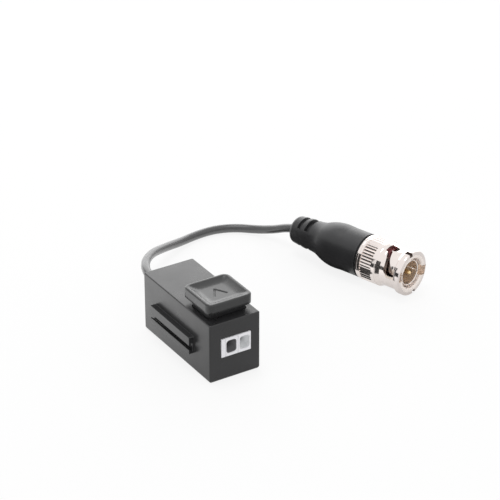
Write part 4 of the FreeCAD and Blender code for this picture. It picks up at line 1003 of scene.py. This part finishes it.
class BALUN_OT_plug(bpy.types.Operator):
    """Build the contact tube with its slits, and the centre contact."""

    bl_idname = "balun.plug"
    bl_label = "Plug"

    def execute(self, context):
        tube = surface(turned(divided(profile(TUBE_PROFILE, 6), RING_STEP), TUBE_SEGMENTS))
        slits = [own_block((-SLIT_REACH, SLIT_START, -SLIT_HALF), (SLIT_REACH, SLIT_END, SLIT_HALF),
                           -math.radians(SLIT_ANGLE + quarter)) for quarter in (0, 90)]
        piece = add_piece("contact_tube", carved(tube, slits), "nickel", UNIT, "plug_body")
        paint_tube(piece.data)
        contact = surface(turned(profile(CONTACT_PROFILE, 6), CONTACT_SEGMENTS))
        add_piece("centre_contact", contact, "gold", UNIT, "centre_pin")
        return {"FINISHED"}


def paint_tube(mesh):
    """Give the contact tube a dull finish in its bore, and a lighter matt one round its front as painted
    light.
    """
    own, radius = own_places(mesh)
    inside = (radius < TUBE_BORE) & (own[:, 1] > TUBE_FRONT)
    front = (radius > TUBE_PAINTED_LIGHT_RADIUS) & (own[:, 1] < PAINTED_LIGHT_DEPTH)
    paint(mesh, ("brassy_bore", "matt_mouth_painted_light"), np.select([inside, front], [1, 2], 0))


# Pieces that stay as the frame has them, and their finishes

KEPT_NODES = {
    "gasket": "silicone_red",
    # the insulator's dark beige-brown is painted shade
    "insulator": "insulator_painted_shade",
    "spring_washer": "spring_steel",
    "crimp_ferrule": "nickel",
    "contact_bar_left": "tinned",
    "contact_bar_right": "tinned",
    "circuit_board": "solder_mask",
    "toroid_core": "ferrite",
    "toroid_winding": "copper_wire",
    "surge_suppressor": "black_liner",
    "smd_capacitor": "ceramic",
    "smd_resistor": "black_liner",
    "cable_tail": "cable_jacket",
}
# Each spring's piece, and the height of the end that stays in place
SPRINGS = {
    "return_spring": ("button_coil", 0.0149),
    "clamp_spring_left": ("wire_clamp_left", 0.00605),
    "clamp_spring_right": ("wire_clamp_right", 0.00605),
}


class BALUN_OT_inside(bpy.types.Operator):
    """Finish the pieces held inside, and make the springs that the button presses."""

    bl_idname = "balun.inside"
    bl_label = "Inside"

    def execute(self, context):
        for node, look in KEPT_NODES.items():
            dress(frame["nodes"][node].data, look, crease=30.0)
        for node, (name, foot) in SPRINGS.items():
            coil = merged_copy(node, flat_angle=0.1)
            spring = add_piece(name, coil, "spring_steel", UNIT, node)
            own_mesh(spring)
        return {"FINISHED"}


# Stage

class BALUN_OT_stage(bpy.types.Operator):
    """Set the floor, the white surroundings, the softboxes and the camera."""

    bl_idname = "balun.stage"
    bl_label = "Stage"

    def execute(self, context):
        scene = context.scene
        stage = scene.balun_stage
        scene.view_settings.view_transform = "Standard"
        set_floor()
        set_surroundings(scene, stage.ambient)
        add_softbox("key", KEY_WAY, KEY_SIZE, stage.key)
        add_softbox("rear", REAR_WAY, REAR_SIZE, stage.rear)
        add_painted_reflections()
        set_camera(scene, stage)
        return {"FINISHED"}


LOOK_AT = Vector((0.04473, 0.04425, 0.0))
LIT_MIDDLE = Vector((0.035, 0.02, 0.01))
KEY_WAY, KEY_SIZE = Vector((-0.06, 0.10, 0.80)), (0.24, 0.24)
REAR_WAY, REAR_SIZE = Vector((0.50, 0.85, 0.37)), (1.40, 0.84)
WHITE = (1, 1, 1, 1)


def set_camera(scene, stage):
    """Put the camera at its distance from the middle of the view, at its azimuth and elevation."""
    back = Vector((math.sin(stage.turn) * math.cos(stage.rise), -math.cos(stage.turn) * math.cos(stage.rise),
                   math.sin(stage.rise)))
    camera = bpy.data.cameras.new("camera")
    camera.sensor_width = 36.0
    camera.lens = stage.focal
    camera.clip_start = 0.01
    camera.clip_end = 20.0
    holder = new_object("camera", camera)
    holder.location = LOOK_AT + back * stage.distance
    holder.rotation_euler = (-back).to_track_quat("-Z", "Y").to_euler()
    scene.camera = holder


def add_softbox(name, way, size, power):
    """A rectangular lamp that stands off the lit middle by a way and faces it."""
    lamp = bpy.data.lights.new(name, "AREA")
    lamp.shape = "RECTANGLE"
    lamp.size, lamp.size_y = size
    lamp.energy = power
    holder = new_object(name, lamp)
    holder.location = LIT_MIDDLE + way
    holder.rotation_euler = (-way).to_track_quat("-Z", "Y").to_euler()


def add_stage(name, points, faces, material):
    """A mesh of the stage, which isn't part of the object."""
    mesh = bpy.data.meshes.new(name)
    mesh.from_pydata(points.tolist(), [], faces)
    mesh.validate()
    mesh.materials.append(material)
    item = new_object(name, mesh)
    return item


# Painted dark reflections: cards beside and under the plug that only reflections see
CARD_GAP = 13.0
CARDS = ((5.6, 8.2, 2.8, CARD_GAP), (14.4, 21.5, 1.2, 9.5), (21.5, 58.0, 0.2, 2.0))
CARD_HEIGHT = 15.5
PAINTED_REFLECTION_COLOUR = (0.06, 0.06, 0.06, 1)
CARD_ROUGHNESS = 0.9


def add_painted_reflections():
    """Dark cards along the plug's left side, seen in reflections alone: painted dark reflections that give the
    metal its dark streaks, and a low one that paints shade into the floor under the plug as the metal mirrors
    it.

    Each has a reach along the plug and a foot above the floor, and runs in from there to an inner edge.
    """
    floor = PLUG_ORIGIN[2] / MM
    high = CARD_HEIGHT - floor
    corners, faces = [], []
    for near, far, foot, inner in CARDS:
        count, low = len(corners), foot - floor
        for out, height in ((CARD_GAP, high), (CARD_GAP, low), (inner, low)):
            corners += [(-out, near, height), (-out, far, height)]
        faces += [(count, count + 1, count + 3, count + 2), (count + 2, count + 3, count + 5, count + 4)]
    material, shader, _ = new_finish("dark_reflection_card", CARD_ROUGHNESS)
    shader.inputs["Base Color"].default_value = PAINTED_REFLECTION_COLOUR
    card = add_stage("card", placed(np.array(corners) * MM, PLUG_FRAME), faces, material)
    for ray in ("camera", "diffuse", "shadow", "transmission"):
        setattr(card, "visible_" + ray, False)


FLOOR_REACH = 6.0
FLOOR_COLOUR = (0.88, 0.88, 0.88, 1)
# How much of the floor is plain white to the camera, and how much of it glows with painted light in
# reflections
FLOOR_GLOW = (("Is Camera Ray", 0.85), ("Is Glossy Ray", 0.6))
# The way across the floor along which the painted glow rises, and its range
GLOW_WAY = (-0.3, 0.95, 0.0)
GLOW_FROM, GLOW_TO = (-0.03, -0.35), (0.055, 1.55)


def send_mix(tree, share, first, second, output):
    """Mix two shaders by a share, and send the result to the tree's output."""
    mix = tree.nodes.new("ShaderNodeMixShader")
    link(share, "Value", mix, "Fac")
    link(first, 0, mix, 1)
    link(second, 0, mix, 2)
    link(mix, "Shader", tree.nodes.new(output), "Surface")


def emptied_tree(owner):
    """The node tree of a material or a world, with nothing in it."""
    owner.use_nodes = True
    owner.node_tree.nodes.clear()
    return owner.node_tree


def set_floor():
    """A wide white floor that stays white to the camera and keeps a faint shadow; in reflections it glows with
    painted light, graded across it.
    """
    material = bpy.data.materials.new("white_floor")
    tree = emptied_tree(material)
    matt = add_node(tree, "ShaderNodeBsdfDiffuse", {"Color": FLOOR_COLOUR})
    glow = add_node(tree, "ShaderNodeEmission", {"Color": WHITE})
    path = tree.nodes.new("ShaderNodeLightPath")
    lift = add_node(tree, "ShaderNodeMath", {2: 1.0}, operation="MULTIPLY_ADD")
    link(path, "Is Glossy Ray", lift, 0)
    link(add_painted_glow(tree), "Result", lift, 1)
    link(lift, "Value", glow, "Strength")
    share = add_node(tree, "ShaderNodeMath", operation="MAXIMUM")
    for socket, (ray, part) in enumerate(FLOOR_GLOW):
        product = add_node(tree, "ShaderNodeMath", {1: part}, operation="MULTIPLY")
        link(path, ray, product, 0)
        link(product, "Value", share, socket)
    send_mix(tree, share, matt, glow, "ShaderNodeOutputMaterial")
    corners = FLOOR_REACH * np.array([(-1, -1, 0), (1, -1, 0), (1, 1, 0), (-1, 1, 0)])
    add_stage("floor", corners, [(0, 1, 2, 3)], material)


def add_painted_glow(tree):
    """Painted light on the floor in reflections: how much brighter than white it glows there, less in front,
    more behind on the left.
    """
    place = tree.nodes.new("ShaderNodeTexCoord")
    along = add_node(tree, "ShaderNodeVectorMath", {1: GLOW_WAY}, operation="DOT_PRODUCT")
    link(place, "Object", along, 0)
    sockets = ("From Min", "To Min", "From Max", "To Max")
    slant = add_node(tree, "ShaderNodeMapRange", dict(zip(sockets, GLOW_FROM + GLOW_TO)))
    link(along, "Value", slant, "Value")
    return slant


def set_surroundings(scene, strength):
    """A white studio: plain white to the camera and in reflections, and softer as light."""
    scene.world = bpy.data.worlds.new("studio")
    tree = emptied_tree(scene.world)
    light = add_node(tree, "ShaderNodeBackground", {"Color": WHITE, "Strength": strength})
    white = add_node(tree, "ShaderNodeBackground", {"Color": WHITE})
    path = tree.nodes.new("ShaderNodeLightPath")
    either = add_node(tree, "ShaderNodeMath", operation="MAXIMUM")
    link(path, "Is Camera Ray", either, 0)
    link(path, "Is Glossy Ray", either, 1)
    send_mix(tree, either, light, white, "ShaderNodeOutputWorld")


# Panel and registration

OPERATORS = (
    BALUN_OT_stage, BALUN_OT_housing, BALUN_OT_terminal, BALUN_OT_button, BALUN_OT_boot, BALUN_OT_ring,
    BALUN_OT_plug, BALUN_OT_inside, BALUN_OT_cable,
)
SETTINGS = {
    "balun_housing": HousingSettings,
    "balun_button": ButtonSettings,
    "balun_cable": CableSettings,
    "balun_plug": PlugSettings,
    "balun_stage": StageSettings,
}


class BALUN_PT_looks(bpy.types.Panel):
    """Lists the settings and the steps that build the balun's looks."""

    bl_label = "Balun"
    bl_idname = "BALUN_PT_looks"
    bl_space_type = "VIEW_3D"
    bl_region_type = "UI"
    bl_category = "Balun"

    def draw(self, context):
        for name, group in SETTINGS.items():
            column = self.layout.column(align=True)
            for setting in group.__annotations__:
                column.prop(getattr(context.scene, name), setting)
        for operator in OPERATORS:
            self.layout.operator(operator.bl_idname)


def register():
    for item in (*SETTINGS.values(), *OPERATORS, BALUN_PT_looks):
        bpy.utils.register_class(item)
    for name, group in SETTINGS.items():
        setattr(bpy.types.Scene, name, PointerProperty(type=group))


def unregister():
    for name in SETTINGS:
        delattr(bpy.types.Scene, name)
    for item in reversed((*SETTINGS.values(), *OPERATORS, BALUN_PT_looks)):
        bpy.utils.unregister_class(item)


def main():
    register()
    bpy.ops.balun.stage()
    bpy.ops.balun.housing()
    bpy.ops.balun.terminal()
    bpy.ops.balun.button()
    bpy.ops.balun.boot()
    bpy.ops.balun.ring()
    bpy.ops.balun.plug()
    bpy.ops.balun.inside()
    bpy.ops.balun.cable()


if __name__ == "__main__":
    main()
